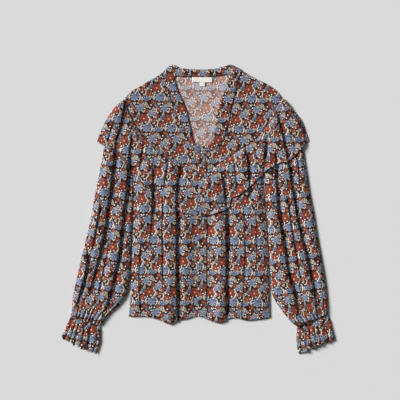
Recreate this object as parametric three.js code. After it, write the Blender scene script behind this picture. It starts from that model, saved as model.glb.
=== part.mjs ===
// A V-neck blouse with a flounce over each shoulder, laid flat on its back and seen from above.
// Millimetres. +X is the right-hand side seen from above, +Y runs towards the neck and +Z is up.
// Left and right in the names are the sides as they lie, seen from above.

import * as THREE from "three";

// Driving dimensions
const WALL = 1.5;
const GAP = 0.3;
const BACK_TOP = WALL;
const FRONT_UNDER = BACK_TOP + GAP;
const FRONT_TOP = FRONT_UNDER + WALL;
const PLACKET_WIDTH = 23;
const SIDE_CLEARANCE = 1.2;
const LABEL_THICKNESS = 1;
const BACK_INSET = 1.5;

// How high the cloth stands between its folds, and how far in from an edge it takes to rise
const SWELL = { body: 3.2, sleeve: 4.8, ruffle: 1.6, cuff: 2.6 };
const RISE = { side: 22, sleeveEdge: 16, placket: 30, cover: 34 };
const PLACKET_MARGIN = 9;

// Half widths of a fold's trough: the ridge on its left drops steeply, its right side climbs slowly
const STEEP = 6;
const GENTLE = 12;

// The edges of the cloth as it lies. Each row is one point on an edge.
const HEM = [
  { x: -185, y: -282 },
  { x: -143, y: -281 },
  { x: -117, y: -286 },
  { x: -97, y: -293 },
  { x: -80, y: -300 },
  { x: -66, y: -293 },
  { x: -39, y: -286 },
  { x: -5, y: -278 },
  { x: 26, y: -289 },
  { x: 48, y: -294 },
  { x: 68, y: -286 },
  { x: 88, y: -280 },
  { x: 118, y: -286 },
  { x: 153, y: -283 },
  { x: 182, y: -278 },
];

const SIDE = {
  left: [
    { y: -282, x: -185 },
    { y: -231, x: -182 },
    { y: -160, x: -180 },
    { y: -82, x: -179 },
    { y: -25, x: -177 },
    { y: 35, x: -178 },
    { y: 79, x: -180 },
  ],
  right: [
    { y: -278, x: 182 },
    { y: -224, x: 180 },
    { y: -146, x: 177 },
    { y: -63, x: 172 },
    { y: 10, x: 165 },
    { y: 93, x: 157 },
  ],
};

const SHOULDER_POINT = { left: { x: -205, y: 282 }, right: { x: 200, y: 294 } };

// From the shoulder point to the neck
const SHOULDER = {
  left: [
    { x: -205, y: 287 },
    { x: -187, y: 305 },
    { x: -159, y: 322 },
    { x: -130, y: 340 },
    { x: -107, y: 355 },
  ],
  right: [
    { x: 100, y: 362 },
    { x: 132, y: 344 },
    { x: 164, y: 329 },
    { x: 187, y: 313 },
    { x: 200, y: 299 },
  ],
};

// The seam that joins yoke, front and flounce, from the centre out to the shoulder point
const YOKE_SEAM = {
  left: [
    { x: -205, y: 282 },
    { x: -197, y: 260 },
    { x: -183, y: 229 },
    { x: -162, y: 196 },
    { x: -119, y: 160 },
    { x: -80, y: 135 },
    { x: -46, y: 112 },
    { x: -14, y: 97 },
    { x: 1, y: 95 },
  ],
  right: [
    { x: -12, y: 93 },
    { x: 1, y: 97 },
    { x: 30, y: 111 },
    { x: 66, y: 135 },
    { x: 99, y: 159 },
    { x: 130, y: 180 },
    { x: 153, y: 204 },
    { x: 170, y: 236 },
    { x: 185, y: 266 },
    { x: 200, y: 294 },
  ],
};

// The flounce's lower edge, from its tip beyond the sleeve to the centre front
const RUFFLE_EDGE = {
  left: [
    { x: -276, y: 171 },
    { x: -257, y: 161 },
    { x: -231, y: 149 },
    { x: -194, y: 104 },
    { x: -157, y: 69 },
    { x: -125, y: 43 },
    { x: -94, y: 23 },
    { x: -65, y: 5 },
    { x: -36, y: -10 },
    { x: -11, y: -17 },
  ],
  right: [
    { x: -9, y: -18 },
    { x: 32, y: -9 },
    { x: 68, y: 8 },
    { x: 93, y: 39 },
    { x: 134, y: 71 },
    { x: 160, y: 100 },
    { x: 193, y: 122 },
    { x: 227, y: 133 },
    { x: 263, y: 170 },
    { x: 276, y: 184 },
  ],
};

// The flounce's outer end, from the shoulder point round the sleeve to its tip
const RUFFLE_END = {
  left: [
    { x: -208, y: 284 },
    { x: -236, y: 255 },
    { x: -256, y: 223 },
    { x: -267, y: 198 },
    { x: -276, y: 171 },
  ],
  right: [
    { x: 204, y: 295 },
    { x: 227, y: 268 },
    { x: 254, y: 237 },
    { x: 267, y: 206 },
    { x: 276, y: 184 },
  ],
};

const PLACKET_EDGE = [
  { y: -279, x: -5 },
  { y: -124, x: -8 },
  { y: 25, x: -10 },
  { y: 108, x: -12 },
  { y: 158, x: -21 },
];

// Sections across a sleeve, from the armhole to the wrist: its outer and its inner edge
const SLEEVE = {
  left: [
    { outerX: -206.5, outerY: 282, innerX: -181, innerY: 79 },
    { outerX: -232, outerY: 247, innerX: -180, innerY: 62 },
    { outerX: -251, outerY: 205, innerX: -179, innerY: 40 },
    { outerX: -257, outerY: 161, innerX: -179, innerY: 15 },
    { outerX: -264, outerY: 116, innerX: -178, innerY: -10 },
    { outerX: -272, outerY: 72, innerX: -178, innerY: -35 },
    { outerX: -279, outerY: 33, innerX: -179, innerY: -60 },
    { outerX: -289, outerY: -27, innerX: -180, innerY: -100 },
    { outerX: -302, outerY: -92, innerX: -181, innerY: -145 },
    { outerX: -314, outerY: -142, innerX: -183, innerY: -185 },
    { outerX: -320, outerY: -172, innerX: -187, innerY: -215 },
    { outerX: -325, outerY: -197, innerX: -196, innerY: -236 },
    { outerX: -330, outerY: -225, innerX: -211, innerY: -255 },
    { outerX: -333, outerY: -252, innerX: -229, innerY: -271 },
    { outerX: -335, outerY: -270, innerX: -246, innerY: -291 },
    { outerX: -336, outerY: -284, innerX: -257, innerY: -307 },
  ],
  right: [
    { outerX: 201.5, outerY: 294, innerX: 158, innerY: 93 },
    { outerX: 229, outerY: 258, innerX: 160, innerY: 74 },
    { outerX: 250, outerY: 212, innerX: 162, innerY: 52 },
    { outerX: 260, outerY: 170, innerX: 165, innerY: 27 },
    { outerX: 267, outerY: 126, innerX: 168, innerY: 2 },
    { outerX: 275, outerY: 82, innerX: 170, innerY: -25 },
    { outerX: 280, outerY: 50, innerX: 173, innerY: -50 },
    { outerX: 292, outerY: -6, innerX: 176, innerY: -90 },
    { outerX: 303, outerY: -66, innerX: 179, innerY: -135 },
    { outerX: 315, outerY: -126, innerX: 182, innerY: -175 },
    { outerX: 321, outerY: -155, innerX: 185, innerY: -210 },
    { outerX: 326, outerY: -185, innerX: 195, innerY: -234 },
    { outerX: 331, outerY: -222, innerX: 213, innerY: -260 },
    { outerX: 333, outerY: -245, innerX: 234, innerY: -285 },
    { outerX: 333, outerY: -264, innerX: 252, innerY: -301 },
  ],
};

// Sections across a frilled cuff, from the elastic at the wrist to its edge
const CUFF = {
  left: [
    { outerX: -336, outerY: -284, innerX: -257, innerY: -307 },
    { outerX: -341, outerY: -296, innerX: -258, innerY: -316 },
    { outerX: -346, outerY: -307, innerX: -258, innerY: -327 },
    { outerX: -350, outerY: -324, innerX: -258, innerY: -351 },
    { outerX: -353, outerY: -340, innerX: -266, innerY: -378 },
  ],
  right: [
    { outerX: 333, outerY: -264, innerX: 252, innerY: -301 },
    { outerX: 338, outerY: -279, innerX: 252, innerY: -312 },
    { outerX: 342, outerY: -292, innerX: 252, innerY: -325 },
    { outerX: 347, outerY: -311, innerX: 253, innerY: -348 },
    { outerX: 353, outerY: -333, innerX: 259, innerY: -372 },
  ],
};
const CUFF_BOW = { left: 5, right: -3 };
const CUFF_BOW_POWER = 4;
const CUFF_WAVES = 9;
const CUFF_WAVE_HEIGHT = 2.2;
const CUFF_START = 0.4;

// The neck band, round the opening from the bottom of the V: its opening side and its outer side
const NECK_BAND = [
  { openX: 0, openY: 165, outerX: 2, outerY: 150 },
  { openX: 13, openY: 168, outerX: 17, outerY: 151 },
  { openX: 22, openY: 174, outerX: 30, outerY: 156 },
  { openX: 28, openY: 189, outerX: 50, outerY: 174 },
  { openX: 29, openY: 208, outerX: 61, outerY: 197 },
  { openX: 32, openY: 232, outerX: 68, outerY: 227 },
  { openX: 35, openY: 256, outerX: 73, outerY: 258 },
  { openX: 44, openY: 286, outerX: 81, outerY: 290 },
  { openX: 55, openY: 310, outerX: 87, outerY: 318 },
  { openX: 61, openY: 333, outerX: 92, outerY: 342 },
  { openX: 64, openY: 347, outerX: 99.5, outerY: 362.5 },
  { openX: 61, openY: 352, outerX: 78, outerY: 375 },
  { openX: 54, openY: 352, outerX: 66, outerY: 378 },
  { openX: 42, openY: 349.5, outerX: 48, outerY: 372.5 },
  { openX: 22, openY: 346.5, outerX: 24, outerY: 366.7 },
  { openX: -5, openY: 344.8, outerX: -7, outerY: 364.3 },
  { openX: -31, openY: 344.8, outerX: -37, outerY: 364.7 },
  { openX: -55, openY: 345, outerX: -62, outerY: 368 },
  { openX: -71, openY: 346, outerX: -85, outerY: 375 },
  { openX: -77, openY: 342, outerX: -106.5, outerY: 355.5 },
  { openX: -74, openY: 328, outerX: -101, outerY: 334 },
  { openX: -66, openY: 305, outerX: -91, outerY: 307 },
  { openX: -54, openY: 280, outerX: -83, outerY: 282 },
  { openX: -43, openY: 253, outerX: -75, outerY: 254 },
  { openX: -37, openY: 227, outerX: -61, outerY: 229 },
  { openX: -31, openY: 204, outerX: -47, outerY: 203 },
  { openX: -28, openY: 186, outerX: -37, outerY: 182 },
  { openX: -21, openY: 173, outerX: -29, outerY: 165 },
  { openX: -11, openY: 167, outerX: -16, outerY: 153 },
];

// Each fold is a trough with a ridge of cloth on its left. Depth is the share of the cloth's
// height that the trough takes, ridge is in millimetres, and the line gives its place at each y.
const FOLDS = [
  {
    piece: "left sleeve, outer",
    depth: 0.95, ridge: 2.6, ridgeAt: 17, ridgeWidth: 15, top: 300, bottom: -225, fade: 60,
    line: [
      { y: 279, x: -202 },
      { y: 221, x: -211 },
      { y: 169, x: -225 },
      { y: 106, x: -231 },
      { y: -19, x: -244 },
      { y: -102, x: -258 },
      { y: -165, x: -272 },
      { y: -225, x: -286 },
    ],
  },
  {
    piece: "left sleeve, inner",
    depth: 0.95, ridge: 2, ridgeAt: 16, ridgeWidth: 14, top: 215, bottom: -275, fade: 60,
    line: [
      { y: 196, x: -183 },
      { y: 138, x: -189 },
      { y: 86, x: -193 },
      { y: 34, x: -196 },
      { y: -70, x: -206 },
      { y: -127, x: -213 },
      { y: -216, x: -230 },
      { y: -275, x: -246 },
    ],
  },
  {
    piece: "left sleeve, above the wrist",
    depth: 0.8, ridge: 1, ridgeAt: 10, ridgeWidth: 9, top: -125, bottom: -270, fade: 40,
    line: [
      { y: -142, x: -293 },
      { y: -170, x: -298 },
      { y: -251, x: -317 },
    ],
  },
  {
    piece: "left front, outer",
    depth: 0.55, ridge: 1.6, ridgeAt: 18, ridgeWidth: 18, top: 165, bottom: -340, fade: 50,
    line: [
      { y: 150, x: -119 },
      { y: 108, x: -125 },
      { y: -16, x: -124 },
      { y: -172, x: -126 },
      { y: -269, x: -125 },
    ],
  },
  {
    piece: "left front, inner",
    depth: 0.95, ridge: 5, ridgeAt: 21, ridgeWidth: 20, top: 130, bottom: -380, fade: 50,
    line: [
      { y: 115, x: -54 },
      { y: 75, x: -62 },
      { y: 26, x: -65 },
      { y: -10, x: -64 },
      { y: -249, x: -58 },
      { y: -288, x: -55 },
    ],
  },
  {
    piece: "right front",
    depth: 0.95, ridge: 5, ridgeAt: 22, ridgeWidth: 21, top: 105, bottom: -380, fade: 50,
    line: [
      { y: 91, x: 54 },
      { y: 44, x: 60 },
      { y: 8, x: 65 },
      { y: -252, x: 70 },
    ],
  },
  {
    piece: "right flounce, over the front",
    depth: 0.7, ridge: 1.6, ridgeAt: 13, ridgeWidth: 12, top: 190, bottom: 20, fade: 40,
    line: [
      { y: 170, x: 112 },
      { y: 131, x: 118 },
      { y: 71, x: 124 },
    ],
  },
  {
    piece: "right flounce, by the armhole",
    depth: 0.7, ridge: 1.6, ridgeAt: 12, ridgeWidth: 11, top: 200, bottom: 60, fade: 40,
    line: [
      { y: 181, x: 164 },
      { y: 145, x: 164 },
      { y: 100, x: 160 },
    ],
  },
  {
    piece: "right sleeve, inner",
    depth: 0.95, ridge: 2, ridgeAt: 13, ridgeWidth: 12, top: 150, bottom: -280, fade: 50,
    line: [
      { y: 124, x: 191 },
      { y: 41, x: 197 },
      { y: -26, x: 204 },
      { y: -94, x: 218 },
      { y: -161, x: 230 },
      { y: -218, x: 246 },
      { y: -264, x: 257 },
    ],
  },
  {
    piece: "right sleeve, outer",
    depth: 0.95, ridge: 2.6, ridgeAt: 17, ridgeWidth: 15, top: 300, bottom: -275, fade: 60,
    line: [
      { y: 280, x: 188 },
      { y: 249, x: 194 },
      { y: 208, x: 205 },
      { y: 140, x: 222 },
      { y: 73, x: 233 },
      { y: -41, x: 256 },
      { y: -129, x: 278 },
      { y: -199, x: 295 },
      { y: -261, x: 307 },
    ],
  },
];

// Where the woven label and the size tab lie, below the back of the neck band
const LABEL = { left: -31, right: 22, bottom: 331, top: 344.2 };
const SIZE_TAB = { left: -11, right: 2.5, bottom: 321, top: 330.7 };

// How finely each piece is divided
const SHOULDER_COLUMNS = 10;
const BAND_COLUMNS = 14;
const BACK_NECK_COLUMNS = 9;
const PANEL_COLUMNS = SHOULDER_COLUMNS + BAND_COLUMNS;
const DIVISIONS = {
  back: { hem: 30, side: 9 },
  front: { across: PANEL_COLUMNS, along: 15 },
  yoke: { across: PANEL_COLUMNS, along: 4 },
  ruffle: { across: 26, along: 6 },
  placket: { across: 2, along: 12 },
  sleeve: { over: 18, under: 4, along: 21 },
  cuff: { over: 28, under: 4, along: 6 },
};

// Colours of the printed cloth, its paler wrong side and the woven label
const PRINT_COLOUR = 0x7a5a55;
const LABEL_COLOUR = 0xf2efe8;

const clamp01 = (value) => Math.min(1, Math.max(0, value));
const lerp = (from, to, share) => from + (to - from) * share;
const smooth = (value) => {
  const t = clamp01(value);
  return t * t * (3 - 2 * t);
};

// Rises from 0 at an edge to 1 at the given distance in from it, like the side of a soft roll
const rollUp = (distance, reach) => Math.sin((clamp01(distance / reach) * Math.PI) / 2);

// A smooth curve through the rows of a table, from one named column to another
function through(rows, from, to) {
  const sorted = [...rows].sort((a, b) => a[from] - b[from]);
  const slopeBetween = (a, b) => (b[to] - a[to]) / (b[from] - a[from]);
  const last = sorted.length - 1;
  const slopes = sorted.map((row, i) => slopeBetween(sorted[Math.max(0, i - 1)], sorted[Math.min(last, i + 1)]));
  return (value) => {
    const held = Math.min(sorted[last][from], Math.max(sorted[0][from], value));
    let i = 0;
    while (i < last - 1 && held > sorted[i + 1][from]) i += 1;
    const span = sorted[i + 1][from] - sorted[i][from];
    const t = (held - sorted[i][from]) / span;
    const start = (1 + 2 * t) * (1 - t) ** 2 * sorted[i][to] + t * (1 - t) ** 2 * span * slopes[i];
    const end = t * t * (3 - 2 * t) * sorted[i + 1][to] + t * t * (t - 1) * span * slopes[i + 1];
    return start + end;
  };
}

// A smooth curve through points, walked at an even pace from 0 to 1
function walk(points) {
  const curve = new THREE.SplineCurve(points.map(({ x, y }) => new THREE.Vector2(x, y)));
  return (share) => curve.getPointAt(clamp01(share));
}

const hemAt = through(HEM, "x", "y");
const placketLeftAt = through(PLACKET_EDGE, "y", "x");
const centreAt = (y) => placketLeftAt(y) + PLACKET_WIDTH / 2;
const yokeSeamAt = {
  left: through(YOKE_SEAM.left, "x", "y"),
  right: through(YOKE_SEAM.right, "x", "y"),
};
const ruffleEdgeAt = {
  left: through(RUFFLE_EDGE.left, "x", "y"),
  right: through(RUFFLE_EDGE.right, "x", "y"),
};
const bodySideAt = {
  left: through(SIDE.left, "y", "x"),
  right: through(SIDE.right, "y", "x"),
};
const sleeveOuterAt = {
  left: through(SLEEVE.left, "outerY", "outerX"),
  right: through(SLEEVE.right, "outerY", "outerX"),
};
const sleeveInnerAt = {
  left: through(SLEEVE.left, "innerY", "innerX"),
  right: through(SLEEVE.right, "innerY", "innerX"),
};
const foldLines = FOLDS.map((fold) => ({ ...fold, at: through(fold.line, "y", "x") }));

// The side seam below the underarm and the straight line of the armhole seam above it
function sideAt(hand, y) {
  const rows = SIDE[hand];
  const underarm = rows[rows.length - 1];
  if (y <= underarm.y) return bodySideAt[hand](y);
  const tip = SHOULDER_POINT[hand];
  return lerp(underarm.x, tip.x, (y - underarm.y) / (tip.y - underarm.y));
}

// The y of a point up the side, with the underarm's corner at a fixed share of the way
const UNDERARM_SHARE = 2 / 3;
function sideRise(hand, share) {
  const underarm = SIDE[hand].at(-1).y;
  if (share < UNDERARM_SHARE) return lerp(SIDE[hand][0].y, underarm, share / UNDERARM_SHARE);
  return lerp(underarm, SHOULDER_POINT[hand].y, (share - UNDERARM_SHARE) / (1 - UNDERARM_SHARE));
}

const handOf = (x) => (x < 0 ? "left" : "right");

// How much of the folds shows at a point: none under the flounces, all of them below their edges
function uncovered(x, y) {
  return smooth((ruffleEdgeAt[handOf(x)](x) - y) / RISE.cover + 0.5);
}

const foldStrength = (fold, y) => smooth((fold.top - y) / fold.fade) * smooth((y - fold.bottom) / fold.fade);
const bell = (t) => Math.exp(-t * t);

// The share of the cloth's height that the troughs leave at a point
function troughs(x, y) {
  return foldLines.reduce((share, fold) => {
    const offset = x - fold.at(y);
    const width = offset < 0 ? STEEP : GENTLE;
    return share * (1 - fold.depth * foldStrength(fold, y) * bell(offset / width));
  }, 1);
}

// The extra height of the ridges beside the troughs
function ridges(x, y) {
  return foldLines.reduce((sum, fold) => {
    const offset = x - fold.at(y) + fold.ridgeAt;
    return sum + fold.ridge * foldStrength(fold, y) * bell(offset / fold.ridgeWidth);
  }, 0);
}

const folded = (x, y, swell) => (swell + ridges(x, y)) * troughs(x, y);

function bodyLift(x, y) {
  const fromSide = Math.abs(sideAt(handOf(x), y)) - Math.abs(x);
  const fromPlacket = Math.abs(x - centreAt(y)) - PLACKET_WIDTH / 2 - PLACKET_MARGIN;
  const rise = rollUp(fromSide, RISE.side) * rollUp(fromPlacket, RISE.placket);
  return folded(x, y, SWELL.body) * rise * uncovered(x, y);
}

function sleeveLift(x, y) {
  const hand = handOf(x);
  const fromOuter = Math.abs(sleeveOuterAt[hand](y)) - Math.abs(x);
  const fromInner = Math.abs(x) - Math.max(Math.abs(sleeveInnerAt[hand](y)), Math.abs(sideAt(hand, y)));
  const rise = rollUp(fromOuter, RISE.sleeveEdge) * rollUp(fromInner, RISE.sleeveEdge);
  return folded(x, y, SWELL.sleeve) * rise * uncovered(x, y);
}

// The top of whatever lies under a flounce at a point
function underFlounce(x, y) {
  const hand = handOf(x);
  if (Math.abs(x) > Math.abs(sleeveOuterAt[hand](y))) return 0;
  const onSleeve = Math.abs(x) > Math.abs(sideAt(hand, y));
  const onPlacket = Math.abs(x - centreAt(y)) < PLACKET_WIDTH / 2;
  const lift = onSleeve ? sleeveLift(x, y) : bodyLift(x, y);
  return FRONT_TOP + lift + (onPlacket ? GAP + WALL : 0);
}

// The highest of the points around one, so that a flat facet laid there clears what is below
const REACH_STEPS = 12;
function highestNear(height, x, y, reach) {
  let highest = height(x, y);
  for (let ring = 1; ring <= 2; ring += 1) {
    for (let step = 0; step < REACH_STEPS; step += 1) {
      const angle = (step * 2 * Math.PI) / REACH_STEPS;
      const away = (reach * ring) / 2;
      highest = Math.max(highest, height(x + away * Math.cos(angle), y + away * Math.sin(angle)));
    }
  }
  return highest;
}

function geometryFrom(positions, triangles) {
  let volume = 0;
  const corner = (i) => new THREE.Vector3().fromArray(positions, 3 * i);
  for (let i = 0; i < triangles.length; i += 3) {
    const [a, b, c] = [corner(triangles[i]), corner(triangles[i + 1]), corner(triangles[i + 2])];
    volume += a.dot(b.cross(c));
  }
  const facingOut = volume < 0 ? [...triangles].reverse() : triangles;
  const geometry = new THREE.BufferGeometry();
  geometry.setAttribute("position", new THREE.Float32BufferAttribute(positions, 3));
  geometry.setIndex(facingOut);
  geometry.computeVertexNormals();
  return geometry;
}

// A closed wall between an underside and a top. Place gives x and y for shares across and along.
function sheet({ across, along }, place, underside) {
  const points = [];
  for (let j = 0; j <= along; j += 1) {
    for (let i = 0; i <= across; i += 1) points.push(place(i / across, j / along));
  }
  const count = points.length;
  const low = points.flatMap(({ x, y }) => [x, y, underside(x, y)]);
  const high = points.flatMap(({ x, y }) => [x, y, underside(x, y) + WALL]);
  const at = (i, j) => j * (across + 1) + i;
  const triangles = [];
  for (let j = 0; j < along; j += 1) {
    for (let i = 0; i < across; i += 1) {
      const [a, b, c, d] = [at(i, j), at(i + 1, j), at(i + 1, j + 1), at(i, j + 1)];
      triangles.push(a, c, b, a, d, c);
      triangles.push(a + count, b + count, c + count, a + count, c + count, d + count);
    }
  }
  const rim = [];
  for (let i = 0; i < across; i += 1) rim.push(at(i, 0));
  for (let j = 0; j < along; j += 1) rim.push(at(across, j));
  for (let i = across; i > 0; i -= 1) rim.push(at(i, along));
  for (let j = along; j > 0; j -= 1) rim.push(at(0, j));
  rim.forEach((a, k) => {
    const b = rim[(k + 1) % rim.length];
    triangles.push(a, b, b + count, a, b + count, a + count);
  });
  return geometryFrom([...low, ...high], triangles);
}

// A tube of cloth pressed flat: an outer and an inner loop at each section, joined at both ends
function flatTube(sections) {
  const size = sections[0].outer.length;
  const positions = sections.flatMap(({ outer, inner }) => [...outer.flat(), ...inner.flat()]);
  const outerAt = (s, k) => s * 2 * size + (k % size);
  const innerAt = (s, k) => outerAt(s, k) + size;
  const triangles = [];
  const quad = (a, b, c, d) => triangles.push(a, b, c, a, c, d);
  for (let s = 0; s < sections.length - 1; s += 1) {
    for (let k = 0; k < size; k += 1) {
      quad(outerAt(s, k), outerAt(s, k + 1), outerAt(s + 1, k + 1), outerAt(s + 1, k));
      quad(innerAt(s, k), innerAt(s + 1, k), innerAt(s + 1, k + 1), innerAt(s, k + 1));
    }
  }
  const end = sections.length - 1;
  for (let k = 0; k < size; k += 1) {
    quad(outerAt(0, k), innerAt(0, k), innerAt(0, k + 1), outerAt(0, k + 1));
    quad(outerAt(end, k), outerAt(end, k + 1), innerAt(end, k + 1), innerAt(end, k));
  }
  return geometryFrom(positions, triangles);
}

// How far in from a tube's side fold its loops turn from the side to the top and the bottom
const TURN = 2.5;
const INNER_TURN = 2.2;

// The two loops of one section: the lower wall lies flat, the upper wall stands at its own height
function loops(outerEdge, innerEdge, divisions, topAt) {
  const width = outerEdge.distanceTo(innerEdge);
  const point = (distance, z) => {
    const { x, y } = outerEdge.clone().lerp(innerEdge, distance / width);
    return [x, y, z];
  };
  const raised = (distance, drop) => {
    const flat = point(distance, 0);
    return [flat[0], flat[1], topAt(flat[0], flat[1], distance / width) - drop];
  };
  const spread = (count, inset) => {
    const step = (width - 2 * inset) / (count - 1);
    return Array.from({ length: count }, (unused, i) => inset + i * step);
  };
  const middle = (BACK_TOP + FRONT_UNDER) / 2;
  const build = (inset, sideInset, bottomZ, drop) => [
    ...spread(divisions.under, inset).map((distance) => point(distance, bottomZ)),
    point(width - sideInset, middle),
    ...spread(divisions.over, inset).reverse().map((distance) => raised(distance, drop)),
    point(sideInset, middle),
  ];
  return {
    outer: build(TURN, 0, 0, 0),
    inner: build(TURN + INNER_TURN, INNER_TURN, BACK_TOP, WALL),
  };
}

const cloth = new THREE.MeshStandardMaterial({ color: PRINT_COLOUR, roughness: 0.85, metalness: 0 });
const labelCloth = new THREE.MeshStandardMaterial({ color: LABEL_COLOUR, roughness: 0.6, metalness: 0 });
const blouse = new THREE.Group();

function add(name, geometry, material) {
  const mesh = new THREE.Mesh(geometry, material.clone());
  mesh.name = name;
  blouse.add(mesh);
}

// The neck band's edges at any turn round the opening, counted in rows of its table
const BAND_TURNS = { rightShoulder: 10, leftShoulder: 19, whole: NECK_BAND.length };
const bandColumn = (name) => {
  const rows = [...NECK_BAND, NECK_BAND[0]].map((row, i) => ({ turn: i, value: row[name] }));
  return through(rows, "turn", "value");
};
const [openX, openY, outerX, outerY] = ["openX", "openY", "outerX", "outerY"].map(bandColumn);
const bandOpenAt = (turn) => new THREE.Vector2(openX(turn), openY(turn));
const bandOuterAt = (turn) => new THREE.Vector2(outerX(turn), outerY(turn));

const steps = (count) => Array.from({ length: count + 1 }, (unused, i) => i / count);
const inFrom = (point, centre, distance) => {
  const away = new THREE.Vector2(centre.x - point.x, centre.y - point.y).normalize();
  return new THREE.Vector2(point.x, point.y).addScaledVector(away, distance);
};

// Back: one flat panel under everything, just inside the outline of the fronts, yokes and band
function backGeometry() {
  const hem = steps(DIVISIONS.back.hem).map((share) => {
    const x = lerp(SIDE.left[0].x, SIDE.right[0].x, share);
    return { x, y: hemAt(x) };
  });
  const side = (hand) =>
    steps(DIVISIONS.back.side).map((share) => {
      const y = sideRise(hand, share);
      return { x: sideAt(hand, y), y };
    });
  const turns = steps(BACK_NECK_COLUMNS).map((share) => lerp(BAND_TURNS.rightShoulder, BAND_TURNS.leftShoulder, share));
  const neck = turns.map(bandOuterAt);
  const shoulders = { left: SHOULDER.left.slice(0, -1).reverse(), right: SHOULDER.right.slice(1).reverse() };
  const outline = [
    ...hem,
    ...side("right").slice(1),
    ...shoulders.right,
    ...neck,
    ...shoulders.left,
    ...side("left").slice(1).reverse(),
  ];
  const inset = outline.map((point) => inFrom(point, { x: 0, y: point.y / 2 }, BACK_INSET));
  return new THREE.ExtrudeGeometry(new THREE.Shape(inset), { depth: WALL, bevelEnabled: false });
}
add("back", backGeometry(), cloth);

// Fronts: each runs from the side and armhole to the centre, and from the hem to the yoke seam
function frontPlace(hand) {
  const outward = hand === "left" ? -1 : 1;
  const seamAt = yokeSeamAt[hand];
  const beside = (outward * GAP) / 2;
  const low = { side: SIDE[hand][0].x, centre: centreAt(hemAt(0)) };
  const high = { side: SHOULDER_POINT[hand].x, centre: centreAt(seamAt(0)) };
  return (u, v) => {
    const bottomX = lerp(low.side, low.centre + beside, u);
    const topX = lerp(high.side, high.centre + beside, u);
    const sideY = sideRise(hand, v);
    const sideShift = sideY - lerp(SIDE[hand][0].y, SHOULDER_POINT[hand].y, v);
    const y = lerp(hemAt(bottomX), seamAt(topX) - 2 * GAP, v) + sideShift * (1 - u);
    const centreY = lerp(hemAt(low.centre), seamAt(high.centre), v);
    const sidePull = sideAt(hand, sideY) - lerp(low.side, high.side, v);
    const centrePull = centreAt(centreY) - lerp(low.centre, high.centre, v);
    return { x: lerp(bottomX, topX, v) + sidePull * (1 - u) + centrePull * u, y };
  };
}
const frontUnder = (x, y) => FRONT_UNDER + bodyLift(x, y);
add("front_left", sheet(DIVISIONS.front, frontPlace("left"), frontUnder), cloth);
add("front_right", sheet(DIVISIONS.front, frontPlace("right"), frontUnder), cloth);

// Yokes: smooth panels from the shoulder and the neck band down to the yoke seam
function yokePlace(hand) {
  const beside = (hand === "left" ? -GAP : GAP) / 2;
  const shoulderAt = through(SHOULDER[hand], "x", "y");
  const neckX = hand === "left" ? SHOULDER.left.at(-1).x : SHOULDER.right[0].x;
  const tipX = SHOULDER_POINT[hand].x;
  const centreX = centreAt(yokeSeamAt[hand](0));
  const turns = hand === "left" ? [BAND_TURNS.leftShoulder, BAND_TURNS.whole] : [BAND_TURNS.rightShoulder, 0];
  const neckShare = SHOULDER_COLUMNS / PANEL_COLUMNS;
  return (u, v) => {
    const seamX = lerp(tipX, centreX + beside, u);
    const seam = { x: seamX, y: yokeSeamAt[hand](seamX) };
    const turn = lerp(...turns, Math.max(0, (u - neckShare) / (1 - neckShare)));
    const byBand = inFrom(bandOuterAt(turn), bandOpenAt(turn), -2 * GAP);
    const shoulderX = lerp(tipX, neckX, u / neckShare);
    const top = u < neckShare ? { x: shoulderX, y: shoulderAt(shoulderX) } : byBand;
    return { x: lerp(seam.x, top.x, v) + beside * v * smooth(u), y: lerp(seam.y, top.y, v) };
  };
}
const yokeUnder = () => FRONT_UNDER;
add("yoke_left", sheet(DIVISIONS.yoke, yokePlace("left"), yokeUnder), cloth);
add("yoke_right", sheet(DIVISIONS.yoke, yokePlace("right"), yokeUnder), cloth);

// Neck band: a closed strip round the opening, turned at the shoulders
function bandGeometry() {
  const spread = (from, to, count) => steps(count).slice(0, -1).map((share) => lerp(from, to, share));
  const turns = [
    ...spread(0, BAND_TURNS.rightShoulder, BAND_COLUMNS),
    ...spread(BAND_TURNS.rightShoulder, BAND_TURNS.leftShoulder, BACK_NECK_COLUMNS),
    ...spread(BAND_TURNS.leftShoulder, BAND_TURNS.whole, BAND_COLUMNS),
  ];
  const corners = turns.map((turn) => {
    const [open, outer] = [bandOpenAt(turn), bandOuterAt(turn)];
    const corner = (point, z) => [point.x, point.y, z];
    return [
      corner(open, FRONT_UNDER),
      corner(outer, FRONT_UNDER),
      corner(outer, FRONT_TOP),
      corner(open, FRONT_TOP),
    ];
  });
  const size = corners[0].length;
  const at = (s, k) => (s % turns.length) * size + (k % size);
  const triangles = corners.flatMap((unused, s) =>
    corners[0].flatMap((side, k) => {
      const [a, b, c, d] = [at(s, k), at(s, k + 1), at(s + 1, k + 1), at(s + 1, k)];
      return [a, b, c, a, c, d];
    }),
  );
  return geometryFrom(corners.flat(2), triangles);
}
add("neck_band", bandGeometry(), cloth);

// Placket: the double strip down the centre front, lying on both fronts
function placketPlace(u, v) {
  const y = lerp(hemAt(0), PLACKET_EDGE.at(-1).y, v);
  return { x: placketLeftAt(y) + u * PLACKET_WIDTH, y };
}
add("placket", sheet(DIVISIONS.placket, placketPlace, () => FRONT_TOP + GAP), cloth);

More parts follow.
